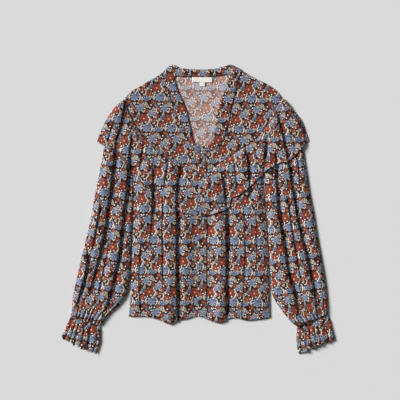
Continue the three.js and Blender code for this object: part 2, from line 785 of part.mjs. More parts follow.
// Flounces: each hangs from the yoke seam, over the front and round the top of the sleeve
const FACET_REACH = 10;
const FOLDS_OPEN_OVER = 90;
function rufflePlace(hand) {
  const leftHand = hand === "left";
  const inward = leftHand ? 1 : -1;
  const seamRows = YOKE_SEAM[hand].filter((row) => !leftHand || row.x < placketLeftAt(row.y));
  const seam = walk(leftHand ? seamRows : [...seamRows].reverse());
  const edge = walk(leftHand ? RUFFLE_EDGE.left : [...RUFFLE_EDGE.right].reverse());
  const end = walk(RUFFLE_END[hand]);
  const centreTop = seam(1);
  const centreBottom = edge(1);
  return (u, v) => {
    const seamPoint = seam(u);
    const edgePoint = edge(u);
    const straightEnd = { x: lerp(seam(0).x, edge(0).x, v), y: lerp(seam(0).y, edge(0).y, v) };
    const bow = { x: end(v).x - straightEnd.x, y: end(v).y - straightEnd.y };
    const x = lerp(seamPoint.x, edgePoint.x, v) + bow.x * (1 - u);
    const y = lerp(seamPoint.y, edgePoint.y, v) + bow.y * (1 - u);
    const centreX = lerp(centreTop.x, centreBottom.x, v);
    const limit = placketLeftAt(y) - GAP;
    const past = leftHand ? Math.max(0, centreX - limit) : 0;
    return { x: x - inward * past * u, y };
  };
}

function ruffleUnder(x, y) {
  const hand = handOf(x - centreAt(y));
  const fromSeam = Math.max(0, yokeSeamAt[hand](x) - y);
  const opening = smooth(fromSeam / FOLDS_OPEN_OVER);
  const own = folded(x, y, SWELL.ruffle) * opening;
  const below = highestNear(underFlounce, x, y, FACET_REACH);
  return Math.max(GAP, below + GAP) + own;
}
add("ruffle_left", sheet(DIVISIONS.ruffle, rufflePlace("left"), ruffleUnder), cloth);
add("ruffle_right", sheet(DIVISIONS.ruffle, rufflePlace("right"), ruffleUnder), cloth);

// Sleeves: wide tubes pressed flat, from the armhole seam to the wrist
function sleeveSections(hand) {
  const rows = SLEEVE[hand].map((row, i) => ({ ...row, station: i }));
  const column = (name) => through(rows, "station", name);
  const [outerX, outerY, innerX, innerY] = ["outerX", "outerY", "innerX", "innerY"].map(column);
  const sections = [];
  for (let s = 0; s <= DIVISIONS.sleeve.along; s += 1) {
    const station = (s / DIVISIONS.sleeve.along) * (rows.length - 1);
    const sideX = sideAt(hand, innerY(station));
    const clear = Math.max(Math.abs(innerX(station)), Math.abs(sideX) + SIDE_CLEARANCE);
    const outerEdge = new THREE.Vector2(outerX(station), outerY(station));
    const innerEdge = new THREE.Vector2(Math.sign(sideX) * clear, innerY(station));
    sections.push(loops(outerEdge, innerEdge, DIVISIONS.sleeve, (x, y) => FRONT_TOP + sleeveLift(x, y)));
  }
  return sections;
}
add("sleeve_left", flatTube(sleeveSections("left")), cloth);
add("sleeve_right", flatTube(sleeveSections("right")), cloth);

// Cuffs: gathered by the elastic at the wrist, then opening into a frill
function cuffSections(hand) {
  const rows = CUFF[hand].map((row, i) => ({ ...row, station: i }));
  const column = (name) => through(rows, "station", name);
  const [outerX, outerY, innerX, innerY] = ["outerX", "outerY", "innerX", "innerY"].map(column);
  const sections = [];
  const last = DIVISIONS.cuff.along;
  for (let s = 0; s <= last; s += 1) {
    const station = (s / last) * (rows.length - 1);
    const outerEdge = new THREE.Vector2(outerX(station), outerY(station));
    const innerEdge = new THREE.Vector2(innerX(station), innerY(station));
    const down = innerEdge.clone().sub(outerEdge).normalize().rotateAround(new THREE.Vector2(), Math.PI / 2);
    if (down.y > 0) down.negate();
    outerEdge.addScaledVector(down, CUFF_START * (1 - s / last));
    innerEdge.addScaledVector(down, CUFF_START * (1 - s / last));
    const topAt = (x, y, share) => {
      const edge = Math.sin(Math.PI * share);
      const wave = (1 + Math.cos(2 * Math.PI * CUFF_WAVES * share)) / 2;
      return FRONT_TOP + edge * (SWELL.cuff * (s / last) + CUFF_WAVE_HEIGHT * wave);
    };
    const section = loops(outerEdge, innerEdge, DIVISIONS.cuff, topAt);
    const bow = CUFF_BOW[hand] * (s / last) ** CUFF_BOW_POWER;
    const width = outerEdge.distanceTo(innerEdge);
    const shift = (point) => {
      const share = outerEdge.distanceTo(new THREE.Vector2(point[0], point[1])) / width;
      const away = bow * Math.sin(Math.PI * clamp01(share));
      return [point[0] + down.x * away, point[1] + down.y * away, point[2]];
    };
    sections.push({ outer: section.outer.map(shift), inner: section.inner.map(shift) });
  }
  return sections;
}
add("cuff_left", flatTube(cuffSections("left")), cloth);
add("cuff_right", flatTube(cuffSections("right")), cloth);

// Label and size tab: blank woven tapes on the inside of the back neck
function tape({ left, right, bottom, top }) {
  const geometry = new THREE.BoxGeometry(right - left, top - bottom, LABEL_THICKNESS);
  return geometry.translate((left + right) / 2, (bottom + top) / 2, BACK_TOP + GAP + LABEL_THICKNESS / 2);
}
add("label", tape(LABEL), labelCloth);
add("size_tab", tape(SIZE_TAB), labelCloth);

export default blouse;
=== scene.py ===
"""A long-sleeved V-neck blouse with a flounce over each shoulder, laid flat on its back.

Lengths are millimetres, which MM turns into Blender's metres. Left and right are the sides as
they lie, seen from above.
"""

import math

import bpy
import numpy as np
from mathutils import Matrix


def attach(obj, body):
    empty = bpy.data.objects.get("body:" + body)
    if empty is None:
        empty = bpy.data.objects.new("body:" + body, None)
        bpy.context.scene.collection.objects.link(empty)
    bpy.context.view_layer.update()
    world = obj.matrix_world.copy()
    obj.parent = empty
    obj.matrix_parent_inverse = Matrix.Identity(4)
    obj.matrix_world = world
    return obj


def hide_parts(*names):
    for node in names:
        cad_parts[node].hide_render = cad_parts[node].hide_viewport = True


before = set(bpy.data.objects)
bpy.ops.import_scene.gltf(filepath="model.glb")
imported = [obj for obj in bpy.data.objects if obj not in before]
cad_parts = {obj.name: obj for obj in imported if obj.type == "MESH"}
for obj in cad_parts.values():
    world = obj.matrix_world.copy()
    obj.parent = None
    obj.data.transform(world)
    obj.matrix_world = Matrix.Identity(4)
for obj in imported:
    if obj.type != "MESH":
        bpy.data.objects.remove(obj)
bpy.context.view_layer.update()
MM = 0.001

# The blouse lies on a plain pale surface and is seen from straight above, turned by about a degree.
# A low, fairly soft sun stands to the upper left, and a weak sky fills the shadows.
VIEW_WIDTH = 1040
VIEW_CENTRE = (-5.2, 24.6)
VIEW_TURN = math.radians(1.02)
CLOTH_LEVEL = 5
LENS = 100
SENSOR = 36
view_height = VIEW_WIDTH * LENS / SENSOR + CLOTH_LEVEL
FLOOR_SIZE = 12000
FLOOR_DROP = 0.3
FLOOR_SHADE = 0.71
SUN_HEIGHT = math.radians(31)
SUN_BEARING = math.radians(157)
SUN_WIDTH = math.radians(22)
SUN_STRENGTH = 5.1
SKY_STRENGTH = 0.14

bpy.ops.object.camera_add(
    location=(VIEW_CENTRE[0] * MM, VIEW_CENTRE[1] * MM, view_height * MM), rotation=(0, 0, VIEW_TURN)
)
camera = bpy.context.object
camera.data.lens = LENS
camera.data.sensor_width = SENSOR
bpy.context.scene.camera = camera
bpy.context.scene.view_settings.view_transform = "Standard"

bpy.ops.mesh.primitive_plane_add(size=FLOOR_SIZE * MM, location=(0, 0, -FLOOR_DROP * MM))
floor = bpy.context.object
floor.name = "floor"
floor_paint = bpy.data.materials.new("floor_paint")
floor_paint.use_nodes = True
floor_shader = floor_paint.node_tree.nodes["Principled BSDF"]
floor_shader.inputs["Base Color"].default_value = (FLOOR_SHADE, FLOOR_SHADE, FLOOR_SHADE, 1)
floor_shader.inputs["Roughness"].default_value = 0.9
floor.data.materials.append(floor_paint)

bpy.ops.object.light_add(type="SUN", rotation=(math.pi / 2 - SUN_HEIGHT, 0, SUN_BEARING + math.pi / 2))
sun = bpy.context.object
sun.data.energy = SUN_STRENGTH
sun.data.angle = SUN_WIDTH

sky = bpy.data.worlds.new("sky")
sky.use_nodes = True
sky.node_tree.nodes["Background"].inputs["Strength"].default_value = SKY_STRENGTH
sky.node_tree.nodes["Background"].inputs["Color"].default_value = (1, 1, 1, 1)
bpy.context.scene.world = sky

# Back: one panel of printed viscose from neck to hem, with its wrong side up. It lies under all the
# rest and shows, paler, through the V. It is sewn to the fronts at the sides and the yokes above.
SHOULDER_POINT = {"left": (-205, 282), "right": (200, 294)}
HEM = [  # x, y
    (-185, -282), (-143, -281), (-117, -286), (-97, -293), (-80, -300), (-66, -293), (-39, -286), (-5, -278),
    (26, -289), (48, -294), (68, -286), (88, -280), (118, -286), (153, -283), (182, -278),
]
SIDE = {  # y, x from the hem to the underarm
    "left": [(-282, -185), (-231, -182), (-160, -180), (-82, -179), (-25, -177), (35, -178), (79, -180)],
    "right": [(-278, 182), (-224, 180), (-146, 177), (-63, 172), (10, 165), (93, 157)],
}
BACK_TOP = [  # x, y along the shoulders and the back of the neck
    (-205, 283), (-187, 304), (-159, 321), (-130, 339), (-106, 354), (-85, 372), (-62, 366), (-37, 363),
    (-7, 363), (24, 365), (48, 371), (66, 375), (80, 371), (100, 360), (132, 343), (164, 328), (187, 312),
    (200, 296),
]
UNDERARM_SHARE = 2 / 3
CLOTH = 0.7
WALL = 1.5
GAP = 0.3
FRONT_TOP = 2 * WALL + GAP
BACK_LEVEL = 0.9
BACK_CEILING = 1.55


def smooth(value):
    """Rises softly from 0 to 1."""
    t = np.clip(value, 0, 1)
    return t * t * (3 - 2 * t)


def bell(value):
    return np.exp(-value * value)


def through(rows):
    """A smooth curve through rows of an input and an output, which takes arrays."""
    inputs, outputs = np.array(sorted(rows), float).T
    last = len(inputs) - 1
    before = np.maximum(np.arange(last + 1) - 1, 0)
    after = np.minimum(np.arange(last + 1) + 1, last)
    slopes = (outputs[after] - outputs[before]) / (inputs[after] - inputs[before])

    def at(value):
        held = np.clip(value, inputs[0], inputs[-1])
        i = np.clip(np.searchsorted(inputs, held, side="right") - 1, 0, last - 1)
        span = inputs[i + 1] - inputs[i]
        t = (held - inputs[i]) / span
        start = (1 + 2 * t) * (1 - t) ** 2 * outputs[i] + t * (1 - t) ** 2 * span * slopes[i]
        end = t * t * (3 - 2 * t) * outputs[i + 1] + t * t * (t - 1) * span * slopes[i + 1]
        return start + end

    return at


def walk(*runs):
    """A line through runs of points, smooth within each run, walked at an even pace from 0 to 1."""
    fine = []
    for run in runs:
        steps = np.arange(len(run))
        shares = np.linspace(0, len(run) - 1, 40 * len(run))
        columns = [through(list(zip(steps, column)))(shares) for column in zip(*run)]
        fine.append(np.stack(columns, axis=-1))
    line = np.concatenate(fine)
    paces = np.concatenate([[0], np.cumsum(np.hypot(*np.diff(line, axis=0).T))])

    def at(share):
        distance = np.clip(share, 0, 1) * paces[-1]
        return np.stack([np.interp(distance, paces, line[:, axis]) for axis in range(2)], axis=-1)

    return at


def patch(bottom, top, west, east):
    """Places inside four edges, for shares across and along."""

    def place(u, v):
        u, v = u[..., None], v[..., None]
        low, high, left, right = bottom(u[..., 0]), top(u[..., 0]), west(v[..., 0]), east(v[..., 0])
        corners = (1 - u) * (1 - v) * bottom(0.0) + u * (1 - v) * bottom(1.0)
        corners = corners + (1 - u) * v * top(0.0) + u * v * top(1.0)
        found = (1 - v) * low + v * high + (1 - u) * left + u * right - corners
        return found[..., 0], found[..., 1]

    return place


def deselect_all():
    for thing in bpy.context.selected_objects:
        thing.select_set(False)


def cloth_grid(name, across, along):
    """A flat grid of faces, as a new object at the origin, and its points' shares."""
    deselect_all()
    bpy.ops.mesh.primitive_grid_add(x_subdivisions=across, y_subdivisions=along, size=1, location=(0, 0, 0))
    piece = bpy.context.object
    piece.name = name
    points = np.zeros(3 * len(piece.data.vertices))
    piece.data.vertices.foreach_get("co", points)
    shares = points.reshape(-1, 3)[:, :2] + 0.5
    order = np.lexsort((np.round(shares[:, 0] * across), np.round(shares[:, 1] * along)))
    u = shares[order, 0].reshape(along + 1, across + 1)
    v = shares[order, 1].reshape(along + 1, across + 1)
    return piece, order, u, v


def shape(piece, order, x, y, z, print_x, print_y):
    """Moves a grid's points to their places, and lays the print's own coordinates on it."""
    points = np.zeros((len(order), 3))
    points[order] = np.stack([x.ravel(), y.ravel(), z.ravel()], axis=-1) * MM
    piece.data.vertices.foreach_set("co", points.ravel())
    print_points = np.zeros((len(order), 2))
    print_points[order] = np.stack([print_x.ravel(), print_y.ravel()], axis=-1) * MM
    corners = np.zeros(len(piece.data.loops), int)
    piece.data.loops.foreach_get("vertex_index", corners)
    piece.data.uv_layers.active.data.foreach_set("uv", print_points[corners].ravel())
    piece.data.update()


def print_across(x, z, reference):
    """How far each point is across the cloth, counted along its folds from a reference column."""
    steps = np.hypot(np.diff(x, axis=1), np.diff(z, axis=1))
    walked = np.concatenate([np.zeros((len(x), 1)), np.cumsum(steps, axis=1)], axis=1)
    return walked - walked[:, reference, None] + x[:, reference, None]


def thicken(piece, inner_material=0):
    """Gives a surface the cloth's thickness, below it or inside it, and smooth shading."""
    wall = piece.modifiers.new("cloth", "SOLIDIFY")
    wall.thickness = CLOTH * MM
    wall.offset = -1
    wall.material_offset = inner_material
    deselect_all()
    piece.select_set(True)
    bpy.context.view_layer.objects.active = piece
    bpy.ops.object.modifier_apply(modifier="cloth")
    bpy.ops.object.shade_smooth()


def unevenness(x, y, seed, length, height, slant=0.3):
    """Soft seeded waves in the cloth, with crests that run mostly along it."""
    random = np.random.default_rng(seed)
    total = np.zeros_like(x)
    waves = 8
    for _ in range(waves):
        turn = random.normal(0, slant)
        pitch = 2 * math.pi / (length * random.uniform(0.7, 1.6))
        start = random.uniform(0, 2 * math.pi)
        total += np.sin(pitch * (x * math.cos(turn) + y * math.sin(turn)) + start)
    return height * total / math.sqrt(waves)


hem_at = through(HEM)
body_side = {hand: through(rows) for hand, rows in SIDE.items()}


def side_at(hand, y):
    """The side seam, and above the underarm the straight line of the armhole."""
    under_y, under_x = SIDE[hand][-1]
    tip_x, tip_y = SHOULDER_POINT[hand]
    armhole = under_x + (tip_x - under_x) * (y - under_y) / (tip_y - under_y)
    return np.where(y <= under_y, body_side[hand](y), armhole)


def side_walk(hand):
    """Up the side of the body and on up the armhole, with the underarm's corner kept."""
    low = [(x, y) for y, x in SIDE[hand]]
    tip = SHOULDER_POINT[hand]
    below, above = walk(low), walk([low[-1], tip])

    def at(share):
        share = np.asarray(share, float)
        first = below(share / UNDERARM_SHARE)
        second = above((share - UNDERARM_SHARE) / (1 - UNDERARM_SHARE))
        return np.where((share < UNDERARM_SHARE)[..., None], first, second)

    return at


BACK_CREASES = [  # y, x down each soft crease, then its height and its width
    ([(250, -120), (60, -150), (-150, -140), (-270, -152)], 0.5, 11),
    ([(180, -40), (20, -75), (-120, -60), (-260, -72)], 0.6, 9),
    ([(120, 40), (-10, 52), (-160, 38), (-275, 46)], 0.5, 12),
    ([(240, 128), (90, 112), (-60, 128), (-250, 118)], 0.5, 10),
]


def back_height(x, y):
    raised = BACK_LEVEL + unevenness(x, y, 3, 70, 0.12)
    for rows, height, width in BACK_CREASES:
        strength = smooth((rows[0][0] - y) / 70) * smooth((y - rows[-1][0]) / 60)
        raised = raised + height * strength * bell((x - through(rows)(y)) / width)
    return np.clip(raised, CLOTH, BACK_CEILING)


def inset(place, distance, centre=(0, 30)):
    """The same places, drawn in towards a centre."""

    def drawn_in(u, v):
        x, y = place(u, v)
        away = np.hypot(x - centre[0], y - centre[1])
        keep = 1 - distance / np.maximum(away, distance)
        return centre[0] + (x - centre[0]) * keep, centre[1] + (y - centre[1]) * keep

    return drawn_in


back_piece, order, u, v = cloth_grid("back_panel", 92, 164)
back_place = patch(walk(HEM), walk(BACK_TOP), side_walk("left"), side_walk("right"))
x, y = inset(back_place, 1.2)(u, v)
z = back_height(x, y)
shape(back_piece, order, x, y, z, print_across(-x, z, 46), y)


def srgb(red, green, blue):
    """A colour as it looks on a screen, as Blender's linear light."""
    shares = [part / 255 for part in (red, green, blue)]
    linear = [s / 12.92 if s <= 0.04045 else ((s + 0.055) / 1.055) ** 2.4 for s in shares]
    return (*linear, 1)


class Wire:
    """One socket of a material, on which Python's arithmetic adds Math nodes."""

    def __init__(self, tree, socket=None):
        self.tree = tree
        self.socket = socket

    def node(self, kind, settings, inputs, output=0):
        """Adds a node, sets it up, fills its sockets, and gives one of its outputs."""
        made = self.tree.nodes.new(kind)
        for name, value in settings.items():
            setattr(made, name, value)
        for key, value in inputs.items():
            if isinstance(value, Wire):
                self.tree.links.new(value.socket, made.inputs[key])
            else:
                made.inputs[key].default_value = value
        return Wire(self.tree, made.outputs[output])

    def maths(self, operation, *values):
        return self.node("ShaderNodeMath", {"operation": operation}, dict(enumerate((self, *values))))

    def __add__(self, other):
        return self.maths("ADD", other)

    __radd__ = __add__

    def __mul__(self, other):
        return self.maths("MULTIPLY", other)

    __rmul__ = __mul__

    def __sub__(self, other):
        return self.maths("SUBTRACT", other)

    def __rsub__(self, other):
        return self.node("ShaderNodeMath", {"operation": "SUBTRACT"}, {0: other, 1: self})

    def __abs__(self):
        return self.maths("ABSOLUTE")

    def least(self, other):
        return self.maths("MINIMUM", other)

    def most(self, other):
        return self.maths("MAXIMUM", other)

    def distance(self, other):
        """Distance of the point (this, other) from the origin."""
        point = self.node("ShaderNodeCombineXYZ", {}, {0: self, 1: other})
        return self.node("ShaderNodeVectorMath", {"operation": "LENGTH"}, {0: point}, 1)

    def edge(self, softness, grown=0):
        """1 inside a shape and 0 outside, for a distance in from its edge."""
        settings = {"operation": "MULTIPLY_ADD", "use_clamp": True}
        inputs = {0: self, 1: 1 / softness, 2: 0.5 + grown / softness}
        return self.node("ShaderNodeMath", settings, inputs)

    def over(self, under, colour):
        """Lays a colour over another one, where this is 1."""
        settings = {"data_type": "RGBA"}
        return self.node("ShaderNodeMix", settings, {0: self, 6: under, 7: colour}, 2)


REPEAT = 64
ROW = 80
SOFTNESS = 0.5
OUTLINE = 1.0
PETAL_GAP = 0.7


class Print:
    """The flower print, painted motif by motif over its dark ground, in a half-drop repeat."""

    def __init__(self, wire, u, v, palette):
        self.wire = wire
        self.u = u
        self.v = v
        self.palette = palette
        self.colour = palette["ground"]
        self.cells = {}

    def cell(self, x, y):
        """Offsets from the nearest copy of a place in the repeat."""
        row = ((self.v - y) * (1 / ROW)).maths("ROUND")
        up = self.v - y - row * ROW
        share = (self.u - x) * (1 / REPEAT) - row * 0.5
        return (share - share.maths("ROUND")) * REPEAT, up

    def near(self, x, y, turn=0):
        """Offsets from the nearest copy of a motif, turned with it."""
        column, row = round(3 * x / REPEAT), round(3 * y / ROW)
        cell_x, cell_y = column * REPEAT / 3, row * ROW / 3
        if (column, row) not in self.cells:
            self.cells[column, row] = self.cell(cell_x, cell_y)
        side, up = self.cells[column, row]
        side, up = side - (x - cell_x), up - (y - cell_y)
        if not turn:
            return side, up
        c, s = math.cos(math.radians(turn)), math.sin(math.radians(turn))
        return side * c + up * s, up * c - side * s

    def lay(self, inside, colour, outlined=True):
        """Paints a shape, with a rim of the dark ground round it where it is outlined."""
        if outlined:
            self.colour = inside.edge(SOFTNESS, OUTLINE).over(self.colour, self.palette["ground"])
        self.colour = inside.edge(SOFTNESS).over(self.colour, colour)

    def flower(self, x, y, radius, petals, cut, tip, middle, turn=0, heart=None):
        """Petals round a middle, parted by thin lines of the ground."""
        side, up = self.near(x, y)
        away = side.distance(up)
        wave = abs((up.maths("ARCTAN2", side) * (petals / 2) + turn).maths("COSINE"))
        parted = (wave * away * (2 / petals) - PETAL_GAP).most(radius * 0.42 - away)
        inside = (wave * (radius * cut) + radius * (1 - cut) - away).least(parted)
        colour = (away - radius * 0.5).edge(radius * 0.5).over(self.palette[middle], self.palette[tip])
        self.lay(inside, colour)
        if heart:
            self.lay(radius * 0.17 - away, self.palette[heart], outlined=False)

    def fan(self, x, y, radius, petals, spread, turn=0, tip="blue_tip", middle="blue"):
        """Narrow petals spread from one point."""
        side, up = self.near(x, y, turn)
        lifted = up + radius * 0.6
        away = side.distance(lifted)
        angle = side.maths("ARCTAN2", lifted)
        wave = abs((angle * (petals * math.pi / (2 * spread)) + petals % 2 * math.pi / 2).maths("SINE"))
        parted = (wave * away * (2 * spread / petals / math.pi) - PETAL_GAP).most(radius * 0.5 - away)
        inside = (wave * (radius * 0.8) + radius * 0.8 - away).least((spread - abs(angle)) * away).least(parted)
        colour = (away - radius * 0.9).edge(radius * 0.9).over(self.palette[middle], self.palette[tip])
        self.lay(inside, colour)

    def spray(self, x, y, length, width, turn):
        """A leaf of slanted cream stripes."""
        side, up = self.near(x, y, turn)
        along = side * (1 / length)
        inside = width - along * along * width - abs(up)
        stripes = ((side + abs(up) * 1.1) * (2 * math.pi / 5.4)).maths("SINE")
        colour = stripes.edge(0.6, 0.15).over(self.palette["ground"], self.palette["cream"])
        self.lay(inside, colour)

    def arcs(self, x, y, radius, width, reach, turn=0, one_side=False):
        """Two tapering crescents that face each other, or one of them."""
        side, up = self.near(x, y, turn)
        slope = up * (1 / reach)
        inside = width - slope * slope * width - abs(side.distance(up) - radius)
        self.lay(inside.least(side) if one_side else inside, self.palette["cream"])

    def dot(self, x, y, radius):
        side, up = self.near(x, y)
        self.lay(radius - side.distance(up), self.palette["white"])


def paint(sheet_print):
    """The motifs of one repeat, from the lowest to the uppermost."""
    for x, y, radius, petals, turn in [
        (17, -12, 6.5, 3, 0.4), (46, -23, 6.5, 3, 1), (11, -52, 7, 4, 0.2), (41, -73, 6, 3, 0.9), (56, -57, 7, 3, 0.5),
        (-3, 15, 6, 4, 0.3), (30, 9, 6, 3, 0.7),
    ]:
        sheet_print.flower(x, y, radius, petals, 0.5, "dark_rust", "deep_rust", turn)
    for x, y, length, width, turn in [
        (28, -19, 12, 6, -35), (40, -63, 9, 4, 50), (-10, -17, 8, 3.5, -60), (2, -58, 8, 4, 25), (47, 3, 7, 3.5, 75),
    ]:
        sheet_print.spray(x, y, length, width, turn)
    for x, y, radius, width, reach, turn, one_side in [
        (0, 0, 14.8, 2, 12, 0, False), (31, -5, 12, 1.7, 9, 190, True), (25, -56, 15.6, 1.7, 12, -20, True),
        (46, -41, 13, 1.5, 9, 30, False), (15, -28, 13.4, 1.4, 8, 200, True), (8, -72, 11.6, 1.5, 8, 170, True),
    ]:
        sheet_print.arcs(x, y, radius, width, reach, turn, one_side)
    for x, y, radius, petals, turn in [
        (25, -56, 12.6, 6, 0.3), (8, -72, 9, 5, 0), (-1, -30, 6.8, 5, 0.7), (-6, -48, 6.4, 4, 0), (33, -37, 6.2, 5, 0.5),
        (52, -60, 6.6, 5, 0.2), (49, -13, 6.2, 4, 0.8), (17, -13, 5, 4, 0.1),
    ]:
        sheet_print.flower(x, y, radius, petals, 0.28, "rust", "rust_middle", turn, heart="gold")
    for x, y, radius, petals, turn in [(0, 0, 11.6, 8, 0), (15, -28, 10.8, 7, 0.4), (46, -41, 10.2, 7, 0.9)]:
        sheet_print.flower(x, y, radius, petals, 0.34, "blue_tip", "blue", turn)
    for x, y, radius, petals, spread, turn in [
        (31, -5, 9, 5, 1.3, 0), (10, -52, 6.5, 4, 1.1, 40), (39, -75, 6.5, 4, 1.1, -20), (59, -22, 6, 4, 1.1, 120),
    ]:
        sheet_print.fan(x, y, radius, petals, spread, turn)
    for x, y, radius, turn in [
        (0, -18, 4.5, 0), (12, -43, 4, 60), (33, -26, 4, -40), (55, -51, 4, 160), (20, 12, 4, 30), (-17, -38, 4, 100),
        (24, -38, 4.4, 15), (49, -30, 4, -80), (-3, -61, 4.2, 130), (41, 0, 4, -10), (18, -20, 3.6, 200),
    ]:
        sheet_print.fan(x, y, radius, 2, 1, turn, "cream", "cream")
    for x, y in [
        (-11, 12), (-8, -38), (20, -73), (20, -2), (40, -28), (57, -31), (9, -16), (34, -70), (43, -20), (35, -46),
        (11, -61), (-2, 15), (27, -30), (51, -51), (4, -24), (24, 6), (61, -40), (-13, -2), (37, -53), (15, -70),
    ]:
        sheet_print.dot(x, y, 1.6)


PRINT_COLOURS = {
    "ground": srgb(46, 27, 21),
    "blue": srgb(108, 120, 148),
    "blue_tip": srgb(141, 153, 174),
    "rust": srgb(142, 70, 52),
    "rust_middle": srgb(130, 50, 36),
    "dark_rust": srgb(112, 50, 44),
    "deep_rust": srgb(84, 28, 26),
    "cream": srgb(208, 195, 180),
    "white": srgb(244, 236, 228),
    "gold": srgb(214, 160, 120),
}
WRONG_SIDE = srgb(226, 198, 194)
WRONG_SIDE_WASH = 0.16
WRONG_SIDE_FADE = 0.56

# Soft matt viscose crepe with the flower print on it.
right_side = bpy.data.materials.new("printed_viscose")
right_side.use_nodes = True
cloth_shader = right_side.node_tree.nodes["Principled BSDF"]
wire = Wire(right_side.node_tree)
print_place = wire.node("ShaderNodeUVMap", {"uv_map": "UVMap"}, {})
print_u, print_v = [wire.node("ShaderNodeSeparateXYZ", {}, {0: print_place}, axis) for axis in range(2)]
cloth_print = Print(wire, print_u * 1000, print_v * 1000, PRINT_COLOURS)
paint(cloth_print)
cloud = wire.node("ShaderNodeTexNoise", {}, {"Vector": print_place, "Scale": 14, "Detail": 3})
fibre = wire.node("ShaderNodeTexNoise", {}, {"Vector": print_place, "Scale": 900, "Detail": 2})
tone = cloud * 0.3 + fibre * 0.24 + 0.73
grey = wire.node("ShaderNodeCombineColor", {}, {0: tone, 1: tone, 2: tone})
tinted = wire.node(
    "ShaderNodeMix", {"data_type": "RGBA", "blend_type": "MULTIPLY"}, {0: 1.0, 6: cloth_print.colour, 7: grey}, 2
)
faded = wire.node("ShaderNodeGamma", {"name": "fade"}, {0: tinted, 1: 1.0})
washed = wire.node("ShaderNodeMix", {"data_type": "RGBA", "name": "wash"}, {0: 0.0, 6: faded, 7: WRONG_SIDE}, 2)
crepe = wire.node("ShaderNodeTexNoise", {}, {"Vector": print_place, "Scale": 1500, "Detail": 2})
crepe_bump = wire.node("ShaderNodeBump", {}, {"Strength": 0.35, "Distance": 0.0003, "Height": crepe})
wire.tree.links.new(washed.socket, cloth_shader.inputs["Base Color"])
wire.tree.links.new((cloud * 0.12 + 0.76).socket, cloth_shader.inputs["Roughness"])
wire.tree.links.new(crepe_bump.socket, cloth_shader.inputs["Normal"])
cloth_shader.inputs["Sheen Weight"].default_value = 0.08
cloth_shader.inputs["Specular IOR Level"].default_value = 0.2

# Its wrong side is the same print, faded and washed out.
wrong_side = right_side.copy()
wrong_side.name = "printed_viscose_wrong_side"
wrong_side.node_tree.nodes["wash"].inputs[0].default_value = WRONG_SIDE_WASH
wrong_side.node_tree.nodes["fade"].inputs[1].default_value = WRONG_SIDE_FADE

back_piece.data.materials.append(wrong_side)
back_piece.data.materials.append(right_side)
thicken(back_piece, 1)
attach(back_piece, "root")
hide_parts("back")

# Fronts: two panels, gathered along the yoke seam, that fall from there to the hem in deep folds.
# Each is sewn to the back at its side, to a sleeve at the armhole and to the placket in the middle.
YOKE_SEAM = {  # x, y from the shoulder point to the centre
    "left": [
        (-205, 282), (-197, 260), (-183, 229), (-162, 196), (-119, 160), (-80, 135), (-46, 112), (-14, 97),
        (1, 95),
    ],
    "right": [
        (-12, 93), (1, 97), (30, 111), (66, 135), (99, 159), (130, 180), (153, 204), (170, 236), (185, 266),
        (200, 294),
    ],
}
FLOUNCE_EDGE = {  # x, y from left to right
    "left": [
        (-276, 171), (-257, 161), (-231, 149), (-194, 104), (-157, 69), (-125, 43), (-94, 23), (-65, 5),
        (-36, -10), (-11, -17),
    ],
    "right": [
        (-9, -18), (10, -17), (32, -10), (60, 1), (71, 9), (76, 29), (88, 36), (102, 44), (134, 71),
        (160, 100), (193, 122), (227, 133), (263, 170), (276, 184),
    ],
}
PLACKET_EDGE = [(-279, -5), (-124, -8), (25, -10), (108, -12), (158, -21)]  # y, x of its left edge
PLACKET_WIDTH = 23
PLACKET_MARGIN = 9
SWELL = {"body": 6, "sleeve": 7.2, "flounce": 4.4, "cuff": 2.6}
RISE = {"side": 22, "sleeve": 16, "placket": 30, "cover": 34}
CORE_LEFT = 3.4
CORE_RIGHT_EXTRA = 1.5
CORE_POWER = 4
SLOPE = 26
SLOPE_SHARE = 0.38
LEAN = 4.5
LEAN_AT = 4.2
LEAN_WIDTH = 3.6
FOLD_SHIFT = 3


class Fold:
    """A trough down the cloth with a ridge on its left that leans over it."""

    def __init__(self, depth, breadth, ridge, ridge_at, ridge_width, top, bottom, fade, *line):
        self.depth = depth
        self.breadth = breadth
        self.ridge = ridge
        self.ridge_at = ridge_at
        self.ridge_width = ridge_width
        self.top = top
        self.bottom = bottom
        self.fade = fade
        self.line = through(line)
        self.start = line[0][1]

    def strength(self, y):
        """How much of the fold there is at a height, uneven along its length."""
        ends = smooth((self.top - y) / self.fade) * smooth((y - self.bottom) / self.fade)
        return ends * (0.9 + 0.1 * np.sin(y / 31 + self.start) + 0.06 * np.sin(y / 13 + 2 * self.start))


